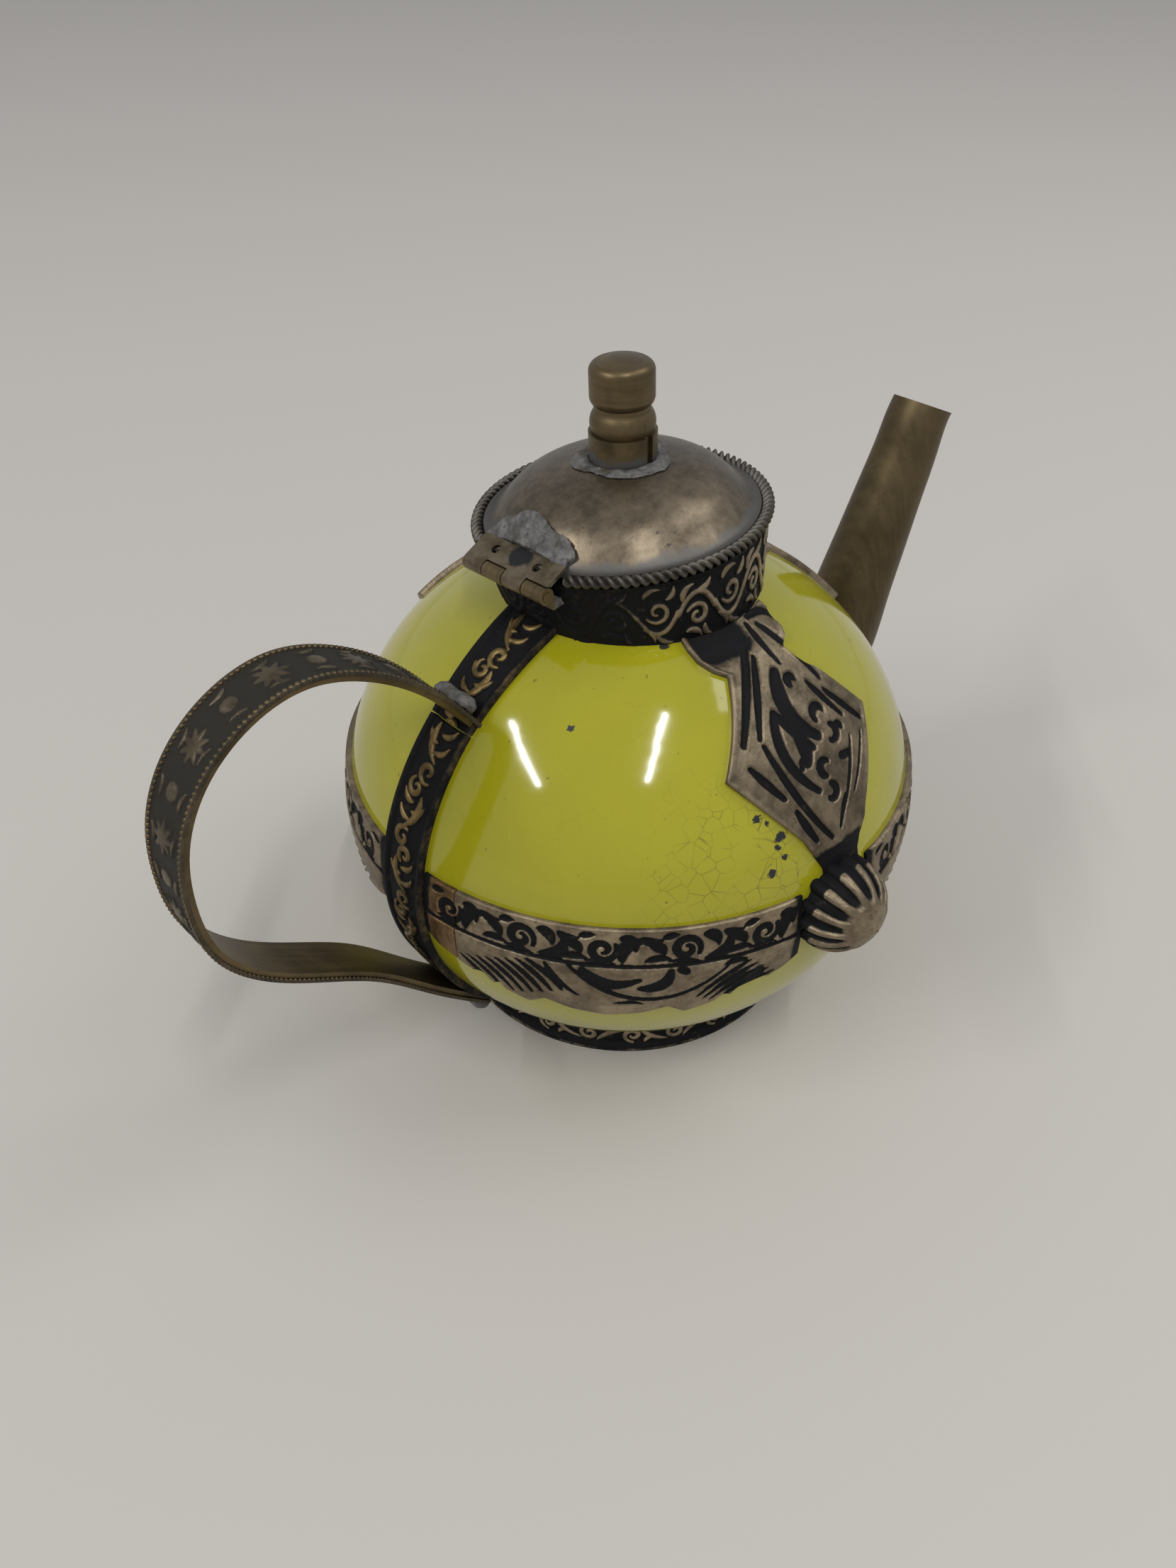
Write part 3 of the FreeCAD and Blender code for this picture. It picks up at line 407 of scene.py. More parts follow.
def chased_material(name, ground, metal, low, high, shine):
    """Metal that is black in the recesses and worn bright on the relief."""
    g = Graph(name, Specular_IOR_Level=0.12)
    relief = g.attribute("relief")
    wear = g.noise(95.0, 5.0, 0.65)
    fine = g.noise(900.0, 3.0, 0.6)
    grime = g.noise(330.0, 4.0, 0.7)
    worn = (relief + (wear - 0.5) * 0.55 + (fine - 0.5) * 0.25).rise(low, high)
    tone = g.mix((wear * 0.5 + grime * 0.6).rise(0.36, 0.74), shaded(metal, 0.42), shaded(metal, 1.15))
    bright = g.mix((relief * wear).rise(0.48, 0.75) * shine, tone, shaded(metal, 1.6))
    colour_now = g.mix(worn, ground, bright)
    colour_now = g.mix(grime.rise(0.60, 0.70) * 0.55, colour_now, shaded(metal, 0.16))
    return g.shade(Base_Color=colour_now, Metallic=0.85 * worn,
                   Roughness=0.62 - 0.20 * worn + 0.18 * (grime - 0.5),
                   Normal=g.bump(fine * 0.5 + grime * 0.8 + wear, 0.35, 0.0005))


def plain_material(name, metal, rough, streak, mottle):
    """Plain tarnished metal with fine brushed streaks and mottling."""
    g = Graph(name)
    lines = g.noise(1.0, 3.0, 0.6, g.stretch(*streak))
    cloud = g.noise(70.0, 5.0, 0.65)
    dots = g.noise(520.0, 2.0).rise(0.66, 0.74)
    tone = (lines * 0.45 + cloud * 0.75).rise(0.35, 0.85)
    colour_now = g.mix(tone, shaded(metal, 1.0 - mottle), shaded(metal, 1.0 + mottle))
    colour_now = g.mix(dots * 0.45, colour_now, shaded(metal, 0.18))
    return g.shade(Base_Color=colour_now, Metallic=0.85 - 0.3 * dots,
                   Roughness=rough + 0.18 * (cloud - 0.5) + 0.1 * dots,
                   Normal=g.bump(lines * 0.5 + cloud * 0.5, 0.22, 0.0003))


def lid_material(looks):
    """Mottled, pitted sheet with a grey solder run inside the rope rim."""
    g = Graph("lid")
    cloud = g.noise(48.0, 6.0, 0.7)
    grain = g.noise(420.0, 4.0, 0.65)
    pits = g.noise(560.0, 2.0).rise(0.64, 0.72) * g.noise(60.0, 3.0).rise(0.42, 0.6)
    tone = (cloud * 0.8 + grain * 0.4).rise(0.38, 0.86)
    colour_now = g.mix(tone, shaded(looks.lid, 0.40), shaded(looks.lid, 1.40))
    colour_now = g.mix(pits * 0.6, colour_now, shaded(looks.lid, 0.12))
    run = (g.distance(LID_MIDDLE) + (g.noise(120.0, 3.0) - 0.5) * 0.004).rise(*LID_RUN_FADE)
    colour_now = g.mix(run * 0.85, colour_now, looks.tin)
    return g.shade(Base_Color=colour_now, Metallic=0.9 - 0.4 * pits,
                   Roughness=0.36 + 0.22 * (cloud - 0.5) + 0.12 * run,
                   Normal=g.bump(grain * 0.5 + cloud * 0.4 - pits * 0.3, 0.22, 0.0003))


def ferrule_material(looks):
    """Brass sleeve with tin smeared round its foot."""
    g = Graph("ferrule")
    cloud = g.noise(170.0, 4.0, 0.6)
    tall = g.add("ShaderNodeSeparateXYZ", "Z", Vector=g.place)
    smear = 1.0 - (tall + (cloud - 0.5) * 0.008).rise(*FERRULE_SMEAR_FADE)
    brass = g.mix(cloud.rise(0.3, 0.7), shaded(looks.brass, 0.6), shaded(looks.brass, 1.15))
    colour_now = g.mix(smear, brass, shaded(looks.tin, 0.9))
    return g.shade(Base_Color=colour_now, Metallic=0.8 - 0.1 * smear, Roughness=0.42 + 0.12 * (cloud - 0.5),
                   Normal=g.bump(cloud, 0.25, 0.0004))


def leaf_material(looks):
    """Tarnished hinge brass, greyed in patches, with a black scorch in the middle."""
    g = Graph("leaf")
    cloud = g.noise(210.0, 4.0, 0.6)
    scorch = 1.0 - (g.distance(HINGE_SCORCH) + (cloud - 0.5) * 0.006).rise(*HINGE_SCORCH_FADE)
    colour_now = g.mix(cloud.rise(0.3, 0.7), shaded(looks.brass, 0.7), shaded(looks.lid, 1.2))
    colour_now = g.mix(scorch, colour_now, looks.patina)
    return g.shade(Base_Color=colour_now, Metallic=0.85 - 0.5 * scorch,
                   Roughness=0.40 + 0.15 * scorch + 0.1 * (cloud - 0.5),
                   Normal=g.bump(cloud, 0.2, 0.0004))


def solder_material(looks):
    """Lumpy dull tin with dark pores and brown stains."""
    g = Graph("dull_solder", Specular_IOR_Level=0.3)
    lump = g.noise(330.0, 5.0, 0.62)
    stain = g.noise(150.0, 4.0, 0.6)
    pores = g.noise(760.0, 2.0).rise(0.60, 0.70)
    colour_now = g.mix(lump.rise(0.3, 0.72), shaded(looks.tin, 0.5), shaded(looks.tin, 1.5))
    colour_now = g.mix(stain.rise(0.50, 0.64) * 0.7, colour_now, shaded(looks.brass, 0.40))
    colour_now = g.mix(pores * 0.6, colour_now, looks.pore)
    return g.shade(Base_Color=colour_now, Metallic=0.25 - 0.2 * pores, Roughness=0.52 + 0.25 * (lump - 0.5),
                   Normal=g.bump(lump + stain, 0.5, 0.0008))


OTHER_FINISHES = {"glaze": glaze_material, "lid": lid_material, "ferrule": ferrule_material,
                  "leaf": leaf_material, "dull_solder": solder_material}


def material(name):
    """Finish by name, made on first use."""
    found = bpy.data.materials.get(name)
    if found:
        return found
    looks = bpy.context.scene.teapot_looks
    if name in CHASED_FINISHES:
        ground, metal, shade, low, high, shine = CHASED_FINISHES[name]
        metal = shaded(getattr(looks, metal), shade)
        return chased_material(name, getattr(looks, ground), metal, low, high, shine)
    if name in PLAIN_FINISHES:
        metal, shade, rough, streak, mottle = PLAIN_FINISHES[name]
        return plain_material(name, shaded(getattr(looks, metal), shade), rough, streak, mottle)
    return OTHER_FINISHES[name](looks)


def spin(points, azimuth):
    """Rows of (radius, z) turned about the upright axis, in metres."""
    radius, z = points
    return np.stack([radius * np.cos(azimuth), radius * np.sin(azimuth), z + 0 * azimuth], axis=-1)


class Ball:
    """The ball's surface, in millimetres."""

    def __init__(self, sizes):
        self.wide = sizes.ball_radius / MM
        self.tall = sizes.ball_half_height / MM
        self.centre = sizes.ball_centre / MM

    def radius(self, z):
        return self.wide * np.sqrt(np.clip(1 - ((z - self.centre) / self.tall) ** 2, 0, 1))

    def point(self, azimuth, z, lift):
        """Points above the surface, in metres."""
        radius = self.radius(z)
        across = radius / self.wide ** 2
        up = (z - self.centre) / self.tall ** 2
        size = np.hypot(across, up)
        return spin(((radius + lift * across / size) * MM, (z + lift * up / size) * MM), azimuth)

    def point_across(self, middle, y, z, lift):
        """Points at a sideways distance y from an azimuth."""
        return self.point(middle + np.arcsin(y / self.radius(z)), z, lift)

    def drop(self, z_high, z_low, count):
        """Heights at even steps of arc length from one height down to another."""
        z = np.linspace(z_high, z_low, ARC_STEPS)
        steps = np.hypot(np.diff(self.radius(z)), np.diff(z))
        arc = np.concatenate([[0], np.cumsum(steps)])
        even = np.linspace(0, arc[-1], count)
        return np.interp(even, arc, z), even


class Relief:
    """Height field over points (u, v) in millimetres, from 0 in the ground to 1."""

    def __init__(self, u, v):
        self.u = u
        self.v = v
        self.height = np.zeros_like(u)

    def rib(self, path, width, height=1.0):
        """Raise a rounded rib along a path; width is one number or one per point."""
        path = np.asarray(path, float)
        width = np.broadcast_to(np.asarray(width, float), len(path))
        reach = width.max()
        low = path.min(0) - reach
        high = path.max(0) + reach
        pick = (self.u > low[0]) & (self.u < high[0]) & (self.v > low[1]) & (self.v < high[1])
        if not pick.any():
            return
        u = self.u[pick]
        v = self.v[pick]
        best = np.zeros_like(u)
        for first, second, wide_a, wide_b in zip(path[:-1], path[1:], width[:-1], width[1:]):
            along = second - first
            share = ((u - first[0]) * along[0] + (v - first[1]) * along[1]) / max(along @ along, 1e-9)
            share = np.clip(share, 0, 1)
            gap = np.hypot(u - first[0] - share * along[0], v - first[1] - share * along[1])
            wide = np.maximum(wide_a + (wide_b - wide_a) * share, 1e-3)
            best = np.maximum(best, 1 - (gap / wide) ** 2)
        self.height[pick] = np.maximum(self.height[pick], height * np.sqrt(np.clip(best, 0, 1)))

    def groove(self, path, width, depth=1.0):
        """Sink a rounded groove along a path."""
        cut = Relief(self.u, self.v)
        cut.rib(path, width)
        self.height = np.minimum(self.height, 1 - depth * cut.height)

    def dashes(self, distance, place, width, run, pitch, share):
        """Sink a row of long dashes at one distance from an edge."""
        across = np.clip(1 - ((distance - place) / width) ** 2, 0, 1)
        phase = np.abs(run / pitch % 1.0 - 0.5) / (share / 2)
        self.height = np.minimum(self.height, 1 - np.sqrt(across * np.clip(1 - phase ** 4, 0, 1)))

    def strip(self, distance, low, high, height=1.0):
        """Raise everything whose distance lies between two limits, with round shoulders."""
        middle = (low + high) / 2
        half = (high - low) / 2
        share = np.clip(1 - ((distance - middle) / half) ** 2, 0, 1)
        self.height = np.maximum(self.height, height * np.sqrt(share))

    def rosette(self, centre, radius, petals, depth, height=1.0):
        """Raise a flower whose outline waves round its middle."""
        across = self.u - centre[0]
        along = self.v - centre[1]
        reach = radius * (1 + depth * np.cos(petals * np.arctan2(along, across)))
        share = np.clip(1 - (np.hypot(across, along) / reach) ** 2, 0, 1)
        self.height = np.maximum(self.height, height * np.sqrt(share))


def curl(centre, radius, start, turns, hand, inner=0.25, count=CURL_POINTS):
    """Spiral path from the outside in; hand is 1 or -1."""
    share = np.linspace(0, 1, count)
    size = radius * (1 - (1 - inner) * share)
    turn = np.radians(start) + hand * FULL_TURN * turns * share
    return np.stack([centre[0] + size * np.cos(turn), centre[1] + size * np.sin(turn)], axis=-1)


def sway(first, last, bend, count=STROKE_POINTS):
    """Curved path between two points; bend is the sideways bulge."""
    share = np.linspace(0, 1, count)[:, None]
    first = np.asarray(first, float)
    last = np.asarray(last, float)
    along = last - first
    side = np.array([-along[1], along[0]]) / max(np.hypot(*along), 1e-6)
    return first + along * share + side * bend * 4 * share * (1 - share)


def blade(width, count=STROKE_POINTS, root=0.25):
    """Widths of a leaf: narrow at both ends, full near the middle."""
    share = np.linspace(0, 1, count)
    return width * (root + (1 - root) * np.sin(np.pi * share ** 0.8))


def grid_mesh(name, points, closed=False, flip=False):
    """Mesh from a grid of points; closed joins the last column to the first."""
    rows, columns = points.shape[:2]
    index = np.arange(rows * columns).reshape(rows, columns)
    if closed:
        index = np.concatenate([index, index[:, :1]], axis=1)
    corners = [index[:-1, :-1], index[:-1, 1:], index[1:, 1:], index[1:, :-1]]
    quads = np.stack(corners, axis=-1).reshape(-1, 4)
    if flip:
        quads = quads[:, ::-1]
    mesh = bpy.data.meshes.new(name)
    mesh.from_pydata(points.reshape(-1, 3), [], quads.tolist())
    mesh.shade_smooth()
    return mesh


def add_relief(mesh, values):
    """Keep the relief height as a point attribute for the material."""
    layer = mesh.attributes.new("relief", "FLOAT", "POINT")
    layer.data.foreach_set("value", np.ascontiguousarray(values, dtype=np.float32).ravel())


def place_piece(name, mesh, finish, body, nodes):
    """Link a mesh as a piece of the object and let it stand for its solids."""
    piece = bpy.data.objects.new(name, mesh)
    bpy.context.scene.collection.objects.link(piece)
    piece.data.materials.clear()
    piece.data.materials.append(material(finish))
    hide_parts(*nodes)
    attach(piece, body)
    return piece


def skirted(field):
    """Grid with one extra row and column all round, for the sheet's edge."""
    return np.pad(field, ((1, 1), (1, 1)), mode="edge")


def sheet_lift(height, thick, relief):
    """Lift of a chased sheet whose outermost points dip into the ball."""
    lift = skirted(thick + relief * height)
    lift[0, :] = lift[-1, :] = -EDGE_SINK
    lift[:, 0] = lift[:, -1] = -EDGE_SINK
    return lift


def use_finish(node, finish):
    """Give a kept solid a better material."""
    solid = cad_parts[node]
    solid.data.materials.clear()
    solid.data.materials.append(material(finish))


def seat_matrix():
    """Frame of the tilted lid, in metres."""
    axis = Vector((math.sin(SEAT_HIGH_SIDE), -math.cos(SEAT_HIGH_SIDE), 0))
    return Matrix.Translation(SEAT_CENTRE) @ Matrix.Rotation(SEAT_LEAN, 4, axis)


def seat_points(points):
    """Move points from the lid's frame to the pot's."""
    matrix = np.array(seat_matrix())
    return points @ matrix[:3, :3].T + matrix[:3, 3]


def smooth_path(knots, count):
    """Natural cubic spline through knots, at even steps of its parameter."""
    knots = np.asarray(knots, float)
    gaps = np.hypot(*np.diff(knots, axis=0).T)
    place = np.concatenate([[0], np.cumsum(gaps)])
    size = len(knots)
    left = np.eye(size)
    right = np.zeros_like(knots)
    for index in range(1, size - 1):
        left[index, index - 1:index + 2] = [gaps[index - 1], 2 * (gaps[index - 1] + gaps[index]), gaps[index]]
        slope_after = (knots[index + 1] - knots[index]) / gaps[index]
        slope_before = (knots[index] - knots[index - 1]) / gaps[index - 1]
        right[index] = 6 * (slope_after - slope_before)
    bend = np.linalg.solve(left, right)
    at = np.linspace(0, place[-1], count)
    index = np.clip(np.searchsorted(place, at, side="right") - 1, 0, size - 2)
    gap = gaps[index][:, None]
    after = (at - place[index])[:, None]
    before = gap - after
    return (bend[index] * before ** 3 / (6 * gap) + bend[index + 1] * after ** 3 / (6 * gap)
            + (knots[index] / gap - bend[index] * gap / 6) * before
            + (knots[index + 1] / gap - bend[index + 1] * gap / 6) * after)


def path_mesh(name, points):
    """Mesh of edges along a path."""
    mesh = bpy.data.meshes.new(name)
    mesh.from_pydata(points, [(index, index + 1) for index in range(len(points) - 1)], [])
    return mesh


class Tree:
    """Geometry node group with short ways to add nodes and inputs."""

    def __init__(self, name):
        self.group = bpy.data.node_groups.new(name, "GeometryNodeTree")
        self.group.interface.new_socket("Geometry", in_out="INPUT", socket_type="NodeSocketGeometry")
        self.group.interface.new_socket("Geometry", in_out="OUTPUT", socket_type="NodeSocketGeometry")
        self.entry = self.group.nodes.new("NodeGroupInput")
        self.exit = self.group.nodes.new("NodeGroupOutput")

    def input(self, name, kind):
        self.group.interface.new_socket(name, in_out="INPUT", socket_type=kind)
        return self.entry.outputs[name]

    def feed(self, slot, value):
        if isinstance(value, bpy.types.NodeSocket):
            self.group.links.new(value, slot)
        else:
            slot.default_value = value

    def add(self, kind, settings=None, **inputs):
        """Add a node, set it up and feed its named inputs."""
        node = self.group.nodes.new(kind)
        for key, value in (settings or {}).items():
            setattr(node, key, value)
        for key, value in inputs.items():
            self.feed(node.inputs[key.replace("_", " ")], value)
        return node

    def product(self, first, second):
        """Product of two values."""
        node = self.add("ShaderNodeMath", {"operation": "MULTIPLY"})
        self.feed(node.inputs[0], first)
        self.feed(node.inputs[1], second)
        return node.outputs[0]

    def finish(self, geometry, finish):
        """Make instances real, set the material and close the group."""
        real = self.add("GeometryNodeRealizeInstances", Geometry=geometry)
        dressed = self.add("GeometryNodeSetMaterial", Geometry=real.outputs[0], Material=finish)
        self.group.links.new(dressed.outputs[0], self.exit.inputs[0])
        return self.group


def rope_nodes():
    """Node group that twists two strands along a path."""
    tree = Tree("Twisted rope")
    turns = tree.input("Turns", "NodeSocketFloat")
    radius = tree.input("Strand radius", "NodeSocketFloat")
    offset = tree.input("Offset", "NodeSocketFloat")
    finish = tree.input("Material", "NodeSocketMaterial")
    path = tree.add("GeometryNodeMeshToCurve", Mesh=tree.entry.outputs[0])
    even = tree.add("GeometryNodeResampleCurve", Curve=path.outputs[0], Count=ROPE_SAMPLES)
    share = tree.add("GeometryNodeSplineParameter")
    angle = tree.product(tree.product(turns, FULL_TURN), share.outputs["Factor"])
    twisted = tree.add("GeometryNodeSetCurveTilt", Curve=even.outputs[0], Tilt=angle)
    circle = tree.add("GeometryNodeCurvePrimitiveCircle", Resolution=ROPE_SIDES, Radius=radius)
    strands = tree.add("GeometryNodeJoinGeometry")
    for side in (offset, tree.product(offset, -1.0)):
        shift = tree.add("ShaderNodeCombineXYZ", X=side)
        moved = tree.add("GeometryNodeTransform", Geometry=circle.outputs[0], Translation=shift.outputs[0])
        tree.group.links.new(moved.outputs[0], strands.inputs[0])
    solid = tree.add("GeometryNodeCurveToMesh", Curve=twisted.outputs[0], Profile_Curve=strands.outputs[0],
                     Fill_Caps=True)
    smooth = tree.add("GeometryNodeSetShadeSmooth", Geometry=solid.outputs[0])
    return tree.finish(smooth.outputs[0], finish)


def bead_nodes():
    """Node group that sets beads at even steps along a path."""
    tree = Tree("Bead row")
    spacing = tree.input("Spacing", "NodeSocketFloat")
    radius = tree.input("Radius", "NodeSocketFloat")
    finish = tree.input("Material", "NodeSocketMaterial")
    path = tree.add("GeometryNodeMeshToCurve", Mesh=tree.entry.outputs[0])
    spots = tree.add("GeometryNodeCurveToPoints", {"mode": "LENGTH"}, Curve=path.outputs[0], Length=spacing)
    bead = tree.add("GeometryNodeMeshIcoSphere", Radius=radius, Subdivisions=2)
    round_bead = tree.add("GeometryNodeSetShadeSmooth", Geometry=bead.outputs[0])
    row = tree.add("GeometryNodeInstanceOnPoints", Points=spots.outputs[0], Instance=round_bead.outputs[0])
    return tree.finish(row.outputs[0], finish)


def run_nodes(piece, group, values):
    """Run a node group on a piece and keep the result as a plain mesh."""
    modifier = piece.modifiers.new(group.name, "NODES")
    modifier.node_group = group
    for item in group.interface.items_tree:
        if item.in_out == "INPUT" and item.name in values:
            modifier[item.identifier] = values[item.name]
    bpy.context.view_layer.update()
    result = piece.evaluated_get(bpy.context.evaluated_depsgraph_get())
    mesh = bpy.data.meshes.new_from_object(result)
    if not mesh.polygons:
        raise RuntimeError(group.name + " made no faces")
    piece.modifiers.remove(modifier)
    old = piece.data
    piece.data = mesh
    bpy.data.meshes.remove(old)


class TEAPOT_OT_ceramic(bpy.types.Operator):
    """Smooth glazed ball with its foot, neck and mouth"""
    bl_idname = "teapot.ceramic"
    bl_label = "Ceramic body"

    def execute(self, context):
        use_finish("ceramic_body", "glaze")
        return {"FINISHED"}


class TEAPOT_OT_solids(bpy.types.Operator):
    """Finishes for the solids that are kept"""
    bl_idname = "teapot.solids"
    bl_label = "Kept solids"

    def execute(self, context):
        for node, finish in KEPT_SOLIDS.items():
            use_finish(node, finish)
        return {"FINISHED"}


class TEAPOT_OT_bands(bpy.types.Operator):
    """Chased belly band in four stretches and a short splice"""
    bl_idname = "teapot.bands"
    bl_label = "Belly bands"

    def execute(self, context):
        sizes = context.scene.teapot_sizes
        ball = Ball(sizes)
        reach = ball.wide + sizes.band_thick / MM
        strap_end = math.asin(STRAP_ROOM / reach)
        boss_end = math.asin(BOSS_ROOM / reach)
        splice_end = strap_end + SPLICE_RUN / ball.wide
        rear = (BOSS_TURN + boss_end, math.pi - strap_end)
        front = (math.asin(SPOUT_ROOM / reach), BOSS_TURN - boss_end)
        rear_right = (FULL_TURN - rear[1], FULL_TURN - rear[0])
        front_right = (-front[1], -front[0])
        butt = BAND_BUTT / reach
        spans = {
            "belly_band_rear_left": (*rear, rear),
            "belly_band_front_left": (*front, front),
            "belly_band_front_right": (*front_right, front_right),
            "belly_band_rear_right": (math.pi + splice_end + butt, rear_right[1], rear_right),
            "band_splice_right": (math.pi + strap_end, math.pi + splice_end, rear_right),
        }
        for name, (start, end, whole) in spans.items():
            self.add_band(sizes, ball, name, start, end, whole)
        return {"FINISHED"}

    def low_edge(self, share):
        """Height of the scalloped edge at a share of the half width."""
        shares = [0.0, 0.18, 0.33, 0.42, 0.72, 1.0]
        heights = [BAND_LOWEST, 43.2, 45.6, 42.6, 47.5, 52.0]
        return np.interp(np.abs(share), shares, heights)

    def add_band(self, sizes, ball, name, start, end, whole):
        """One stretch of band; whole gives the ends that its pattern is laid out between."""
        middle = (whole[0] + whole[1]) / 2
        half = (whole[1] - whole[0]) / 2
        top = sizes.band_top / MM
        columns = int((end - start) * sizes.ball_radius / sizes.grid)
        rows = int((sizes.band_top - BAND_LOWEST * MM) / sizes.grid)
        azimuth = np.linspace(start, end, columns)
        low = self.low_edge(np.sin(azimuth - middle) / math.sin(half))
        share = np.linspace(0, 1, rows)[:, None]
        z = low + (top - low) * share
        u = np.broadcast_to((azimuth - middle) * ball.wide, z.shape)
        hand = -1 if name.endswith("left") else 1
        relief = Relief(hand * u, z)
        self.carve(relief, half * ball.wide, sizes)
        rise = sizes.relief / MM
        lift = sheet_lift(relief.height, sizes.band_thick / MM - rise, rise)
        points = ball.point(skirted(np.broadcast_to(azimuth, z.shape)), skirted(z), lift)
        mesh = grid_mesh(name, points)
        add_relief(mesh, skirted(relief.height))
        finish = "copper" if name == "band_splice_right" else "chased"
        place_piece(name + "_chased", mesh, finish, "pot", [name])

    def carve(self, relief, half, sizes):
        """Worn sheet with sunk scrolls above the crease, and swags and wings below it."""
        relief.height[:] = 1.0
        crease = sizes.band_crease / MM
        relief.groove([(-half, crease), (half, crease)], 0.75)
        self.carve_frieze(relief, half, crease)
        self.carve_swag(relief, crease)
        for step in range(WING_STROKES):
            relief.groove(sway((-17.0 - 2.4 * step, crease - 1.6 - 0.9 * step),
                               (-9.6 - 2.3 * step, crease - 9.4 - 1.0 * step), 0.9), blade(1.1, root=0.5))
            relief.groove(sway((31.0 + 1.5 * step, crease - 2.6 - 1.5 * step),
                               (20.0 + 1.5 * step, crease - 11.2 - 1.1 * step), -0.9), blade(1.1, root=0.5))
        relief.height *= np.clip((half - np.abs(relief.u)) / BAND_DARK_END + 0.1, 0, 1)

    def carve_frieze(self, relief, half, crease):
        """Sunk scrolls with lobes between them."""
        period = 2 * half / FRIEZE_SCROLLS
        for index in range(FRIEZE_SCROLLS):
            u = -half + (index + 0.45) * period
            hand = 1 if index % 2 else -1
            relief.groove(curl((u, crease + 4.3), 3.2, -30 * hand, 1.3, hand), blade(1.15, CURL_POINTS, 0.5))
            lobes = [((4.2, 1.2), (9.4, 6.8), -2.2 * hand, 1.9), ((3.8, 7.4), (7.0, 4.2), 1.1, 1.6),
                     ((8.2, 7.6), (12.6, 7.0), -0.8, 1.3), ((9.0, 1.4), (14.6, 1.5), 0.8, 1.2),
                     ((10.2, 5.4), (13.0, 3.2), 0.8, 1.5), ((-4.8, 7.4), (-1.6, 8.0), 0.2, 1.0),
                     ((-3.6, 1.2), (2.6, 0.9), 0.3, 0.8)]
            for first, last, bend, width in lobes:
                relief.groove(sway((u + first[0], crease + first[1]), (u + last[0], crease + last[1]), bend),
                              blade(width))

    def carve_swag(self, relief, crease):
        """Hanging swag with two commas inside it."""
        strokes = [((-8.0, -0.8), (27.0, -1.6), -9.6, 0.75), ((-13.0, -1.4), (-6.0, -10.4), -0.8, 0.75),
                   ((-5.0, -1.6), (6.8, -4.2), -2.7, 1.4), ((7.4, -6.9), (13.6, -1.8), -2.0, 1.4),
                   ((15.4, -1.4), (17.2, -2.8), 0.3, 0.9), ((33.5, -6.0), (30.5, -9.6), 1.4, 1.3),
                   ((2.0, -12.4), (8.0, -12.6), 0.4, 0.7), ((25.4, -1.8), (30.0, -1.8), 0.2, 0.8)]
        for first, last, bend, width in strokes:
            relief.groove(sway((first[0], crease + first[1]), (last[0], crease + last[1]), bend),
                          blade(1.4 * width, root=0.5))


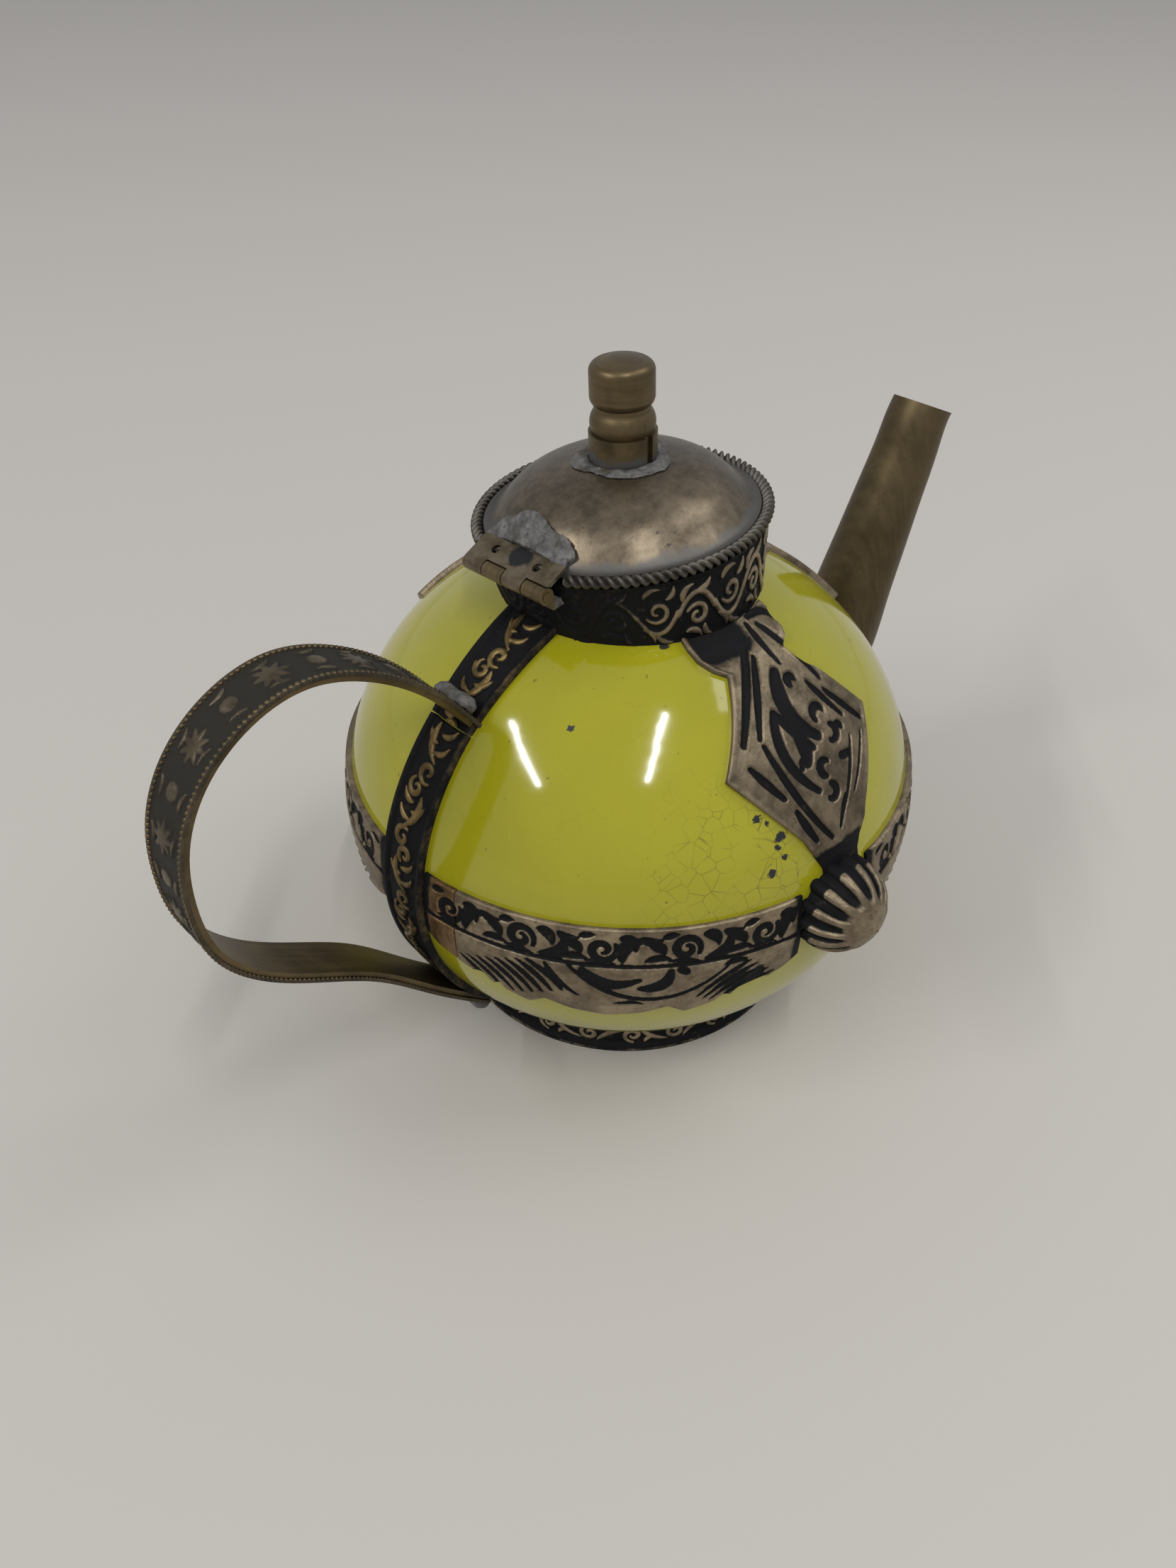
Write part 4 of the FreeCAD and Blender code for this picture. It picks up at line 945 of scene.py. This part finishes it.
class TEAPOT_OT_plates(bpy.types.Operator):
    """Eared diamond plates on the shoulder"""
    bl_idname = "teapot.plates"
    bl_label = "Shoulder plates"

    def execute(self, context):
        sizes = context.scene.teapot_sizes
        ball = Ball(sizes)
        middles = {"side_plate_right": -SIDE_TURN, "side_plate_left": SIDE_TURN, "spout_plate": 0.0}
        for name, middle in middles.items():
            self.add_plate(sizes, ball, name, middle)
        return {"FINISHED"}

    def half_width(self, z):
        """Half width at a height: diamond, notch and rounded ears."""
        heights = [72.0, 80.0, 94.0, 107.4, 108.4, 109.8, 111.2, 112.5]
        widths = [5.5, 9.5, 21.0, 8.5, 10.6, 12.0, 12.0, 11.4]
        return np.interp(z, heights, widths)

    def add_plate(self, sizes, ball, name, middle):
        """One plate round its middle azimuth, mirrored on the left."""
        rows = int(PLATE_RUN * MM / sizes.grid)
        columns = int(PLATE_WIDTH * MM / sizes.grid)
        z, run = ball.drop(PLATE_TOP_Z, PLATE_END_Z, rows)
        half = self.half_width(z)[:, None]
        y = half * np.linspace(-1, 1, columns)[None, :]
        v = np.broadcast_to(run[:, None], y.shape)
        hand = -1 if middle > 0 else 1
        relief = Relief(hand * y, v)
        self.carve(relief, half)
        lift = sheet_lift(relief.height, PLATE_BASE, sizes.relief / MM)
        z_grid = np.broadcast_to(z[:, None], y.shape)
        points = ball.point_across(middle, skirted(y), skirted(z_grid), lift)
        mesh = grid_mesh(name, points, flip=True)
        add_relief(mesh, skirted(relief.height))
        place_piece(name + "_chased", mesh, "plate", "pot", [name])

    def carve(self, relief, half):
        """Sheet with long strokes along its outline, leaf strokes, crescents and a black neck."""
        relief.height[:] = 1.0
        inset = (half - np.abs(relief.u)) * 0.76
        strokes = [((0.5, 4.0), (-14.3, 25.6), 0.0, 0.85), ((-0.5, 9.0), (-10.3, 25.3), 0.3, 0.75),
                   ((-15.2, 30.4), (-11.0, 38.4), 0.2, 0.9), ((-9.2, 42.0), (-6.4, 49.6), 0.2, 0.9),
                   ((-10.2, 27.0), (-2.1, 50.8), 1.8, 0.85), ((3.7, 2.0), (4.2, 12.7), 0.3, 0.75),
                   ((6.2, 3.5), (11.9, 20.4), -0.4, 0.9), ((11.2, 23.0), (18.2, 33.6), 0.2, 0.8),
                   ((7.8, 19.5), (12.6, 29.6), 0.2, 0.8), ((12.0, 34.2), (2.6, 47.0), -0.3, 0.55),
                   ((16.0, 35.4), (7.4, 44.6), -0.2, 0.5), ((1.7, 14.0), (3.2, 29.8), 3.4, 1.7),
                   ((-4.4, 21.4), (-2.2, 40.0), 3.6, 1.15), ((-4.2, 21.7), (0.8, 31.4), 0.4, 1.1),
                   ((-1.6, 27.4), (-2.4, 33.6), -0.6, 1.7), ((-3.4, 32.6), (-4.2, 34.4), 0.1, 0.7),
                   ((6.8, 36.2), (9.6, 36.6), 0.2, 0.9), ((4.4, 44.0), (0.8, 49.6), 0.2, 0.7),
                   ((5.2, 0.8), (12.2, 7.4), -2.6, 0.9)]
        for first, last, bend, width in strokes:
            relief.groove(sway(first, last, bend), blade(1.25 * width, root=0.65))
        crescents = [(4.3, 17.3, 1.2, 147), (6.3, 26.1, 1.9, 147), (7.0, 31.1, 1.9, -73),
                     (1.8, 36.4, 1.9, 107), (0.8, 41.6, 1.8, -73), (9.9, 31.6, 1.2, 147)]
        for u, v, size, start in crescents:
            relief.groove(curl((u, v), size, start, 0.58, 1, 0.75), blade(1.25, CURL_POINTS, 0.5))
        neck = np.clip((4.0 - relief.u) / 4.0, 0, 1) * np.clip((9.0 - relief.v) / 3.0, 0, 1)
        edge = np.clip(1.6 - inset / 0.7, 0, 1)
        relief.height *= 1 - 0.85 * neck * (1 - edge)
        relief.height *= np.clip((54.5 - relief.v) / 3.5, 0, 1)
        relief.height += 0.3 * edge * relief.height


class TEAPOT_OT_bosses(bpy.types.Operator):
    """Fluted domes on both sides"""
    bl_idname = "teapot.bosses"
    bl_label = "Side bosses"

    def execute(self, context):
        ball = Ball(context.scene.teapot_sizes)
        for name, side in (("boss_right", -1), ("boss_left", 1)):
            self.add_boss(ball, name, side)
        return {"FINISHED"}

    def add_boss(self, ball, name, side):
        """Narrow bright ribs between wide grooves, a smooth crown, a small nub and a dent."""
        polar = np.linspace(0.02, 1.75, 120)[:, None]
        turn = np.linspace(0, FULL_TURN, 361)[:-1][None, :]
        wave = np.clip(0.30 + 0.8 * np.cos(BOSS_RIBS * turn + 0.5 * np.sin(3 * turn)), 0, 1)
        fade = np.clip((polar - 0.48 - 0.14 * np.cos(turn - 0.7)) / 0.30, 0, 1)
        relief = 1 - fade * (1 - wave ** 0.6)
        dent = np.exp(-(((polar - 0.62) / 0.13) ** 2 + ((turn - 3.9) / 0.22) ** 2))
        nub = np.exp(-((polar / 0.09) ** 2))
        radius = BOSS_RADIUS - BOSS_FLUTE * (1 - relief) + BOSS_NUB * nub - BOSS_DENT * dent
        out = float(ball.radius(np.array(BOSS_Z))) + radius * np.cos(polar)
        across = radius * np.sin(polar)
        azimuth = side * BOSS_TURN
        sideways = across * np.cos(turn)
        x = out * math.cos(azimuth) - side * sideways * math.sin(azimuth)
        y = out * math.sin(azimuth) + side * sideways * math.cos(azimuth)
        points = np.stack([x, y, BOSS_Z + across * np.sin(turn)], axis=-1) * MM
        mesh = grid_mesh(name, points, closed=True, flip=side < 0)
        rim = np.clip((1.45 - polar) / 0.10, 0, 1)
        add_relief(mesh, np.clip(relief * 0.9 - dent, 0, 1) * rim)
        place_piece(name + "_fluted", mesh, "chased", "pot", [name])


class TEAPOT_OT_straps(bpy.types.Operator):
    """Black strap with gold scrolls from the collar to the foot"""
    bl_idname = "teapot.straps"
    bl_label = "Handle straps"

    def execute(self, context):
        sizes = context.scene.teapot_sizes
        ball = Ball(sizes)
        for name, ends in STRAPS.items():
            self.add_strap(sizes, ball, name, *ends)
        return {"FINISHED"}

    def add_strap(self, sizes, ball, name, high, low, half_high, half_low):
        """One strap with raised rails, from its upper to its lower height."""
        run = ball.drop(high, low, 2)[1][-1]
        rows = int(run * MM / sizes.grid)
        z, arc = ball.drop(high, low, rows)
        half = np.interp(z, [low, high], [half_low, half_high])[:, None]
        columns = int(STRAP_WIDTH * MM / sizes.grid)
        y = half * np.linspace(-1, 1, columns)[None, :]
        v = np.broadcast_to(arc[:, None], y.shape)
        relief = Relief(y, v)
        self.carve(relief, run)
        rail = np.clip(1 - ((half - np.abs(y)) / STRAP_RAIL) ** 2, 0, 1) ** 0.5
        lift = sheet_lift(relief.height + STRAP_RAIL_RISE * rail, STRAP_BASE, sizes.relief / MM)
        z_grid = np.broadcast_to(z[:, None], y.shape)
        points = ball.point_across(STRAP_AZIMUTH, skirted(-y), skirted(z_grid), lift)
        mesh = grid_mesh(name, points)
        add_relief(mesh, skirted(np.maximum(relief.height, rail * STRAP_RAIL_WEAR)))
        place_piece(name + "_chased", mesh, "strap", "pot", [name])

    def carve(self, relief, run):
        """Fronds with side leaves, and a pair of curls after each."""
        count = max(1, round(run / STRAP_PATTERN))
        step = run / count
        for index in range(count):
            v = index * step
            hand = 1 if index % 2 else -1
            relief.rib(sway((-1.8 * hand, v + 0.4), (1.6 * hand, v + 8.6), 1.6 * hand), blade(1.2))
            for side, along in ((hand, 2.4), (-hand, 4.4), (hand, 6.4)):
                relief.rib(sway((0.0, v + along), (3.5 * side, v + along - 2.2), 0.9 * side), blade(0.9))
            upper_curl = curl((0.9 * hand, v + 11.0), 2.5, -120 * hand, 1.0, hand)
            relief.rib(upper_curl, blade(0.95, CURL_POINTS, 0.5))
            lower_curl = curl((-0.8 * hand, v + 15.0), 2.2, 60 * hand, 1.0, -hand)
            relief.rib(lower_curl, blade(0.9, CURL_POINTS, 0.5))


class TEAPOT_OT_collar(bpy.types.Operator):
    """Black collar with worn gold leaves and curls"""
    bl_idname = "teapot.collar"
    bl_label = "Collar"

    def execute(self, context):
        sizes = context.scene.teapot_sizes
        columns = int(FULL_TURN * COLLAR_RADIUS * MM / sizes.grid)
        rows = int(COLLAR_RUN * MM / sizes.grid)
        turn = np.linspace(0, FULL_TURN, columns + 1)[:-1][None, :]
        share = np.linspace(COLLAR_START, 1.0, rows)[:, None]
        height = (share - COLLAR_START) / (1 - COLLAR_START) * COLLAR_TALL
        u = np.broadcast_to(turn * COLLAR_RADIUS, (rows, columns))
        relief = Relief(u, np.broadcast_to(height, (rows, columns)))
        self.carve(relief)
        # Painted light: the relief, and with it the worn gold, is full on the side that faces the soft right
        # lamp and falls to 0.44 of it on the far side
        relief.height *= 0.44 + 0.56 * np.clip(np.cos(turn + 0.6) * 1.4 + 0.5, 0, 1)
        lift = relief.height * sizes.relief / MM - COLLAR_SINK
        mesh = grid_mesh("collar", self.wall(turn, share, lift), closed=True)
        top = relief.height[-1:]
        add_relief(mesh, np.concatenate([relief.height, top, 0 * top, 0 * top], axis=0))
        place_piece("collar_chased", mesh, "collar", "pot", ["collar"])
        return {"FINISHED"}

    def wall(self, turn, share, lift):
        """Points of the cone's outside, its lip and the upper part of its inside."""
        lip = np.full_like(lift[-1:], -COLLAR_LIP)
        inside = np.full_like(lift[-1:], -COLLAR_WALL)
        lift = np.concatenate([lift, lip, inside, inside], axis=0)
        end = np.full_like(share[-1:], COLLAR_INSIDE)
        share = np.concatenate([share, share[-1:], share[-1:], end], axis=0)
        turns = turn + 0 * lift
        low = spin(((COLLAR_LOW_RADIUS + lift) * MM, COLLAR_LOW_Z * MM), turns)
        top = seat_points(spin(((COLLAR_TOP_RADIUS + lift) * MM, COLLAR_TOP_Z * MM), turns))
        return low + (top - low) * share[..., None]

    def carve(self, relief):
        """Running vine with a curl and leaning leaves in each bend."""
        relief.strip(COLLAR_TALL - relief.v, -0.3, 0.8, 0.5)
        relief.strip(relief.v, -0.3, 0.8, 0.6)
        step = FULL_TURN * COLLAR_RADIUS / COLLAR_BENDS
        leaves = [((-3.4, 3.0), (-1.0, 6.4), 0.9, 0.95), ((-0.4, 4.6), (3.0, 6.6), -0.8, 0.9),
                  ((-2.8, -4.2), (1.0, -5.9), 0.9, 0.95), ((1.8, -3.4), (3.6, -6.2), -0.7, 0.85)]
        for index in range(COLLAR_BENDS):
            u = (index + 0.5) * step
            hand = 1 if index % 2 else -1
            middle = 7.4 + 0.5 * math.sin(2.4 * index)
            vine = sway((u - step / 2, middle), (u + step / 2, middle), 4.4 * hand, VINE_POINTS)
            relief.rib(vine, 0.75)
            tendril = curl((u, middle - 0.8 * hand), 2.7, 150 * hand, 1.15, -hand)
            relief.rib(tendril, blade(0.8, CURL_POINTS, 0.6))
            for root, tip, bend, width in leaves:
                first = (u + root[0], middle + root[1] * hand)
                last = (u + tip[0], middle + tip[1] * hand)
                relief.rib(sway(first, last, bend), blade(width))


class TEAPOT_OT_foot(bpy.types.Operator):
    """Black foot ring with a running scroll"""
    bl_idname = "teapot.foot"
    bl_label = "Foot ring"

    def execute(self, context):
        sizes = context.scene.teapot_sizes
        columns = int(FULL_TURN * FOOT_RADIUS * MM / sizes.grid / FOOT_COARSER)
        rows = int(FOOT_RUN * MM / sizes.grid)
        turn = np.linspace(0, FULL_TURN, columns + 1)[:-1][None, :]
        z = np.linspace(0.0, FOOT_TALL, rows)[:, None]
        u = np.broadcast_to(turn * FOOT_RADIUS, (rows, columns))
        relief = Relief(u, np.broadcast_to(z, (rows, columns)))
        self.carve(relief)
        radius = self.outline(z) + relief.height * sizes.relief / MM * 0.9 - FOOT_SINK
        inside = np.full_like(radius[:1], FOOT_INSIDE)
        radius = np.concatenate([inside, radius, inside], axis=0)
        z = np.concatenate([z[:1], z, z[-1:]], axis=0)
        points = spin((radius * MM, z * MM), turn + 0 * radius)
        mesh = grid_mesh("foot_ring", points, closed=True)
        add_relief(mesh, np.pad(relief.height, ((1, 1), (0, 0)), mode="edge"))
        place_piece("foot_ring_chased", mesh, "foot", "pot", ["foot_ring"])
        return {"FINISHED"}

    def outline(self, z):
        """Radius at a height: a wide base, a waist and a small upper bead."""
        return np.interp(z, [0, 1.7, 2.4, 8.0, 8.6, FOOT_TALL], [47.3, 47.3, 46.3, 46.2, 46.8, 46.3])

    def carve(self, relief):
        """Two plain edges, and curls with leaves between them."""
        relief.strip(relief.v, -0.4, 1.7, 0.55)
        relief.strip(np.abs(relief.v - 8.7), -0.5, 0.5, 0.5)
        step = FULL_TURN * FOOT_RADIUS / FOOT_SCROLLS
        z = FOOT_SCROLL_Z
        for index in range(FOOT_SCROLLS):
            u = (index + 0.5) * step
            hand = 1 if index % 2 else -1
            relief.rib(curl((u, z), 2.5, 90 * hand, 1.2, hand), blade(0.85, CURL_POINTS, 0.5))
            stem = sway((u + 2.0, z - 2.2 * hand), (u + step - 2.2, z + 2.0 * hand), 0.9 * hand)
            relief.rib(stem, blade(0.95))
            relief.rib(sway((u + 3.0, z + 2.6 * hand), (u + 5.4, z + 0.6 * hand), 0.5), blade(0.8))


class TEAPOT_OT_handle(bpy.types.Operator):
    """Loop handle of a plain inner strip and a chased outer strip"""
    bl_idname = "teapot.handle"
    bl_label = "Handle"

    def execute(self, context):
        sizes = context.scene.teapot_sizes
        path = smooth_path(HANDLE_KNOTS, HANDLE_POINTS)
        steps = np.hypot(*np.diff(path, axis=0).T)
        arc = np.concatenate([[0], np.cumsum(steps)])
        along = np.gradient(path, axis=0)
        along /= np.hypot(*along.T)[:, None]
        outward = np.stack([-along[:, 1], along[:, 0]], axis=-1)
        self.add_outer(sizes, path, outward, arc)
        for side in (-1, 1):
            self.add_beads(path, outward, side)
        return {"FINISHED"}

    def add_beads(self, path, outward, side):
        """Row of small beads along one edge of the outer strip."""
        lift = np.full((len(path), 1), BEAD_LIFT)
        edge = self.lay(path, outward, np.array([[side * BEAD_SIDE]]), lift)[:, 0]
        name = "handle_beads_right" if side < 0 else "handle_beads_left"
        piece = place_piece(name, path_mesh(name, edge), "handle", "pot", [])
        values = {"Spacing": BEAD_SPACING * MM, "Radius": BEAD_RADIUS * MM, "Material": material("brass")}
        run_nodes(piece, bead_nodes(), values)
        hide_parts("handle_outer_strip")

    def lay(self, path, outward, y, lift):
        """Points at a sideways place and a distance outside the path."""
        flat = path[:, None, :] + outward[:, None, :] * lift[..., None]
        return np.stack([-flat[..., 0], y + 0 * lift, flat[..., 1]], axis=-1) * MM

    def add_outer(self, sizes, path, outward, arc):
        """Chased face of the outer strip with its two turned edges."""
        columns = int(2 * HANDLE_HALF * MM / sizes.grid)
        y = np.linspace(-HANDLE_HALF, HANDLE_HALF, columns)[None, :]
        v = np.broadcast_to(arc[:, None], (len(arc), columns))
        relief = Relief(np.broadcast_to(y, v.shape), v)
        self.carve(relief, arc[-1])
        lift = HANDLE_FACE + relief.height * sizes.relief / MM * 0.7
        edge = np.full((len(arc), 1), HANDLE_EDGE)
        lift = np.concatenate([edge, lift, edge], axis=1)
        y_all = np.concatenate([y[:, :1], y, y[:, -1:]], axis=1)
        mesh = grid_mesh("handle_outer_strip", self.lay(path, outward, y_all, lift))
        add_relief(mesh, np.pad(relief.height, ((0, 0), (1, 1)), mode="edge"))
        place_piece("handle_outer_chased", mesh, "handle", "pot", ["handle_outer_strip"])

    def carve(self, relief, run):
        """Plain edges, round and starry flowers by turns, and short leaves beside them."""
        relief.strip(HANDLE_HALF - np.abs(relief.u), -0.4, 0.9, 0.7)
        count = int(run / HANDLE_PATTERN)
        step = run / count
        for index in range(count):
            v = (index + 0.5) * step
            if index % 2:
                relief.rosette((0, v), 2.1, 9, 0.04)
            else:
                relief.rosette((0, v), 3.2, 8, 0.28)
            for side in (-1, 1):
                relief.rib(sway((side * 4.2, v - 1.6), (side * 3.4, v + 2.2), side * 0.5), blade(0.6))


class TEAPOT_OT_rim(bpy.types.Operator):
    """Twisted rope rim round the lid's flange"""
    bl_idname = "teapot.rim"
    bl_label = "Rope rim"

    def execute(self, context):
        turn = np.linspace(-math.pi + ROPE_GAP, math.pi - ROPE_GAP, ROPE_POINTS)
        radius = np.full(ROPE_POINTS, ROPE_RADIUS) * MM
        points = seat_points(spin((radius, np.zeros(ROPE_POINTS)), turn))
        mesh = path_mesh("rope_rim", points)
        piece = place_piece("rope_rim", mesh, "rope", "lid", [])
        run_nodes(piece, rope_nodes(), {"Turns": ROPE_TURNS, "Strand radius": ROPE_STRAND * MM,
                                        "Offset": ROPE_OFFSET * MM, "Material": material("rope")})
        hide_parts("lid_rope_rim")
        return {"FINISHED"}


class TEAPOT_OT_solder(bpy.types.Operator):
    """Lumpy runs of solder at the handle, the hinge and the knob"""
    bl_idname = "teapot.solder"
    bl_label = "Solder"

    def execute(self, context):
        for node, body in SOLDER_RUNS.items():
            self.add_lump(context, node, body)
        return {"FINISHED"}

    def add_lump(self, context, node, body):
        """Solid's own form with an uneven skin."""
        draft = bpy.data.objects.new(node + "_draft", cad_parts[node].data.copy())
        context.scene.collection.objects.link(draft)
        remesh = draft.modifiers.new("remesh", "REMESH")
        remesh.mode = "VOXEL"
        remesh.voxel_size = SOLDER_VOXEL * MM
        context.view_layer.update()
        mesh = bpy.data.meshes.new_from_object(draft.evaluated_get(context.evaluated_depsgraph_get()))
        bpy.data.objects.remove(draft)
        normals = [vertex.normal.copy() for vertex in mesh.vertices]
        for vertex, normal in zip(mesh.vertices, normals):
            swell = noise.noise(vertex.co * SOLDER_LUMPS) + 0.5 * noise.noise(vertex.co * SOLDER_GRAINS)
            vertex.co += normal * swell * SOLDER_SWELL * MM
        mesh.shade_smooth()
        place_piece(node + "_lumps", mesh, "dull_solder", body, [node])


class TEAPOT_OT_stage(bpy.types.Operator):
    """Pale floor, soft light and the photograph's camera"""
    bl_idname = "teapot.stage"
    bl_label = "Stage"

    def execute(self, context):
        looks = context.scene.teapot_looks
        self.add_floor(looks)
        self.add_world(context.scene, looks)
        self.add_lights()
        self.add_camera(context.scene)
        context.scene.view_settings.view_transform = "Standard"
        return {"FINISHED"}

    def add_floor(self, looks):
        mesh = bpy.data.meshes.new("floor")
        reach = FLOOR_REACH
        corners = [(-reach, -reach, 0), (reach, -reach, 0), (reach, reach, 0), (-reach, reach, 0)]
        mesh.from_pydata(corners, [], [(0, 1, 2, 3)])
        floor = bpy.data.objects.new("floor", mesh)
        bpy.context.scene.collection.objects.link(floor)
        mesh.materials.append(Graph("floor", Roughness=0.6).shade(Base_Color=(*looks.floor, 1.0)))

    def add_world(self, scene, looks):
        world = bpy.data.worlds.new("studio")
        world.use_nodes = True
        back = world.node_tree.nodes["Background"]
        back.inputs["Color"].default_value = (*looks.air, 1.0)
        back.inputs["Strength"].default_value = WORLD_STRENGTH
        scene.world = world

    def add_lights(self):
        """Two tubes that leave thin glints on the glaze, and a soft light from the right."""
        for name, first, last, width, power in LAMPS:
            self.add_lamp(name, Vector(first), Vector(last), width, power)

    def add_lamp(self, name, first, last, width, power):
        """Flat lamp that runs from one point to another and faces the pot."""
        light = bpy.data.lights.new(name, "AREA")
        light.shape = "RECTANGLE"
        light.size = width
        light.size_y = (last - first).length
        light.energy = power
        lamp = bpy.data.objects.new(name, light)
        lamp.location = (first + last) / 2
        along = (last - first).normalized()
        across = along.cross(lamp.location).normalized()
        lamp.rotation_euler = Matrix((across, along, across.cross(along))).transposed().to_euler()
        bpy.context.scene.collection.objects.link(lamp)

    def add_camera(self, scene):
        camera = bpy.data.cameras.new("photo_camera")
        camera.lens = CAMERA_LENS
        camera.sensor_width = CAMERA_SENSOR
        camera.clip_start = CAMERA_NEAR
        eye = bpy.data.objects.new("photo_camera", camera)
        eye.location = CAMERA_PLACE
        aim = Vector(CAMERA_AIM) - Vector(eye.location)
        eye.rotation_euler = aim.to_track_quat("-Z", "Y").to_euler()
        scene.collection.objects.link(eye)
        scene.camera = eye


class TEAPOT_PT_panel(bpy.types.Panel):
    """Sizes, colours and buttons for the teapot"""
    bl_idname = "TEAPOT_PT_panel"
    bl_label = "Teapot"
    bl_space_type = "VIEW_3D"
    bl_region_type = "UI"
    bl_category = "Teapot"

    def draw(self, context):
        for group in (context.scene.teapot_sizes, context.scene.teapot_looks):
            for name in type(group).__annotations__:
                self.layout.prop(group, name)
        for kind in OPERATORS:
            self.layout.operator(kind.bl_idname)


OPERATORS = [TEAPOT_OT_ceramic, TEAPOT_OT_solids, TEAPOT_OT_bands, TEAPOT_OT_plates, TEAPOT_OT_bosses,
             TEAPOT_OT_straps, TEAPOT_OT_collar, TEAPOT_OT_foot, TEAPOT_OT_handle, TEAPOT_OT_rim,
             TEAPOT_OT_solder, TEAPOT_OT_stage]
CLASSES = [TEAPOT_PG_sizes, TEAPOT_PG_looks, *OPERATORS, TEAPOT_PT_panel]


def register():
    for kind in CLASSES:
        bpy.utils.register_class(kind)
    bpy.types.Scene.teapot_sizes = bpy.props.PointerProperty(type=TEAPOT_PG_sizes)
    bpy.types.Scene.teapot_looks = bpy.props.PointerProperty(type=TEAPOT_PG_looks)


def unregister():
    del bpy.types.Scene.teapot_looks
    del bpy.types.Scene.teapot_sizes
    for kind in reversed(CLASSES):
        bpy.utils.unregister_class(kind)


def main():
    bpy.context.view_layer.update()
    register()
    for kind in OPERATORS:
        group, name = kind.bl_idname.split(".")
        getattr(getattr(bpy.ops, group), name)()


if __name__ == "__main__":
    main()
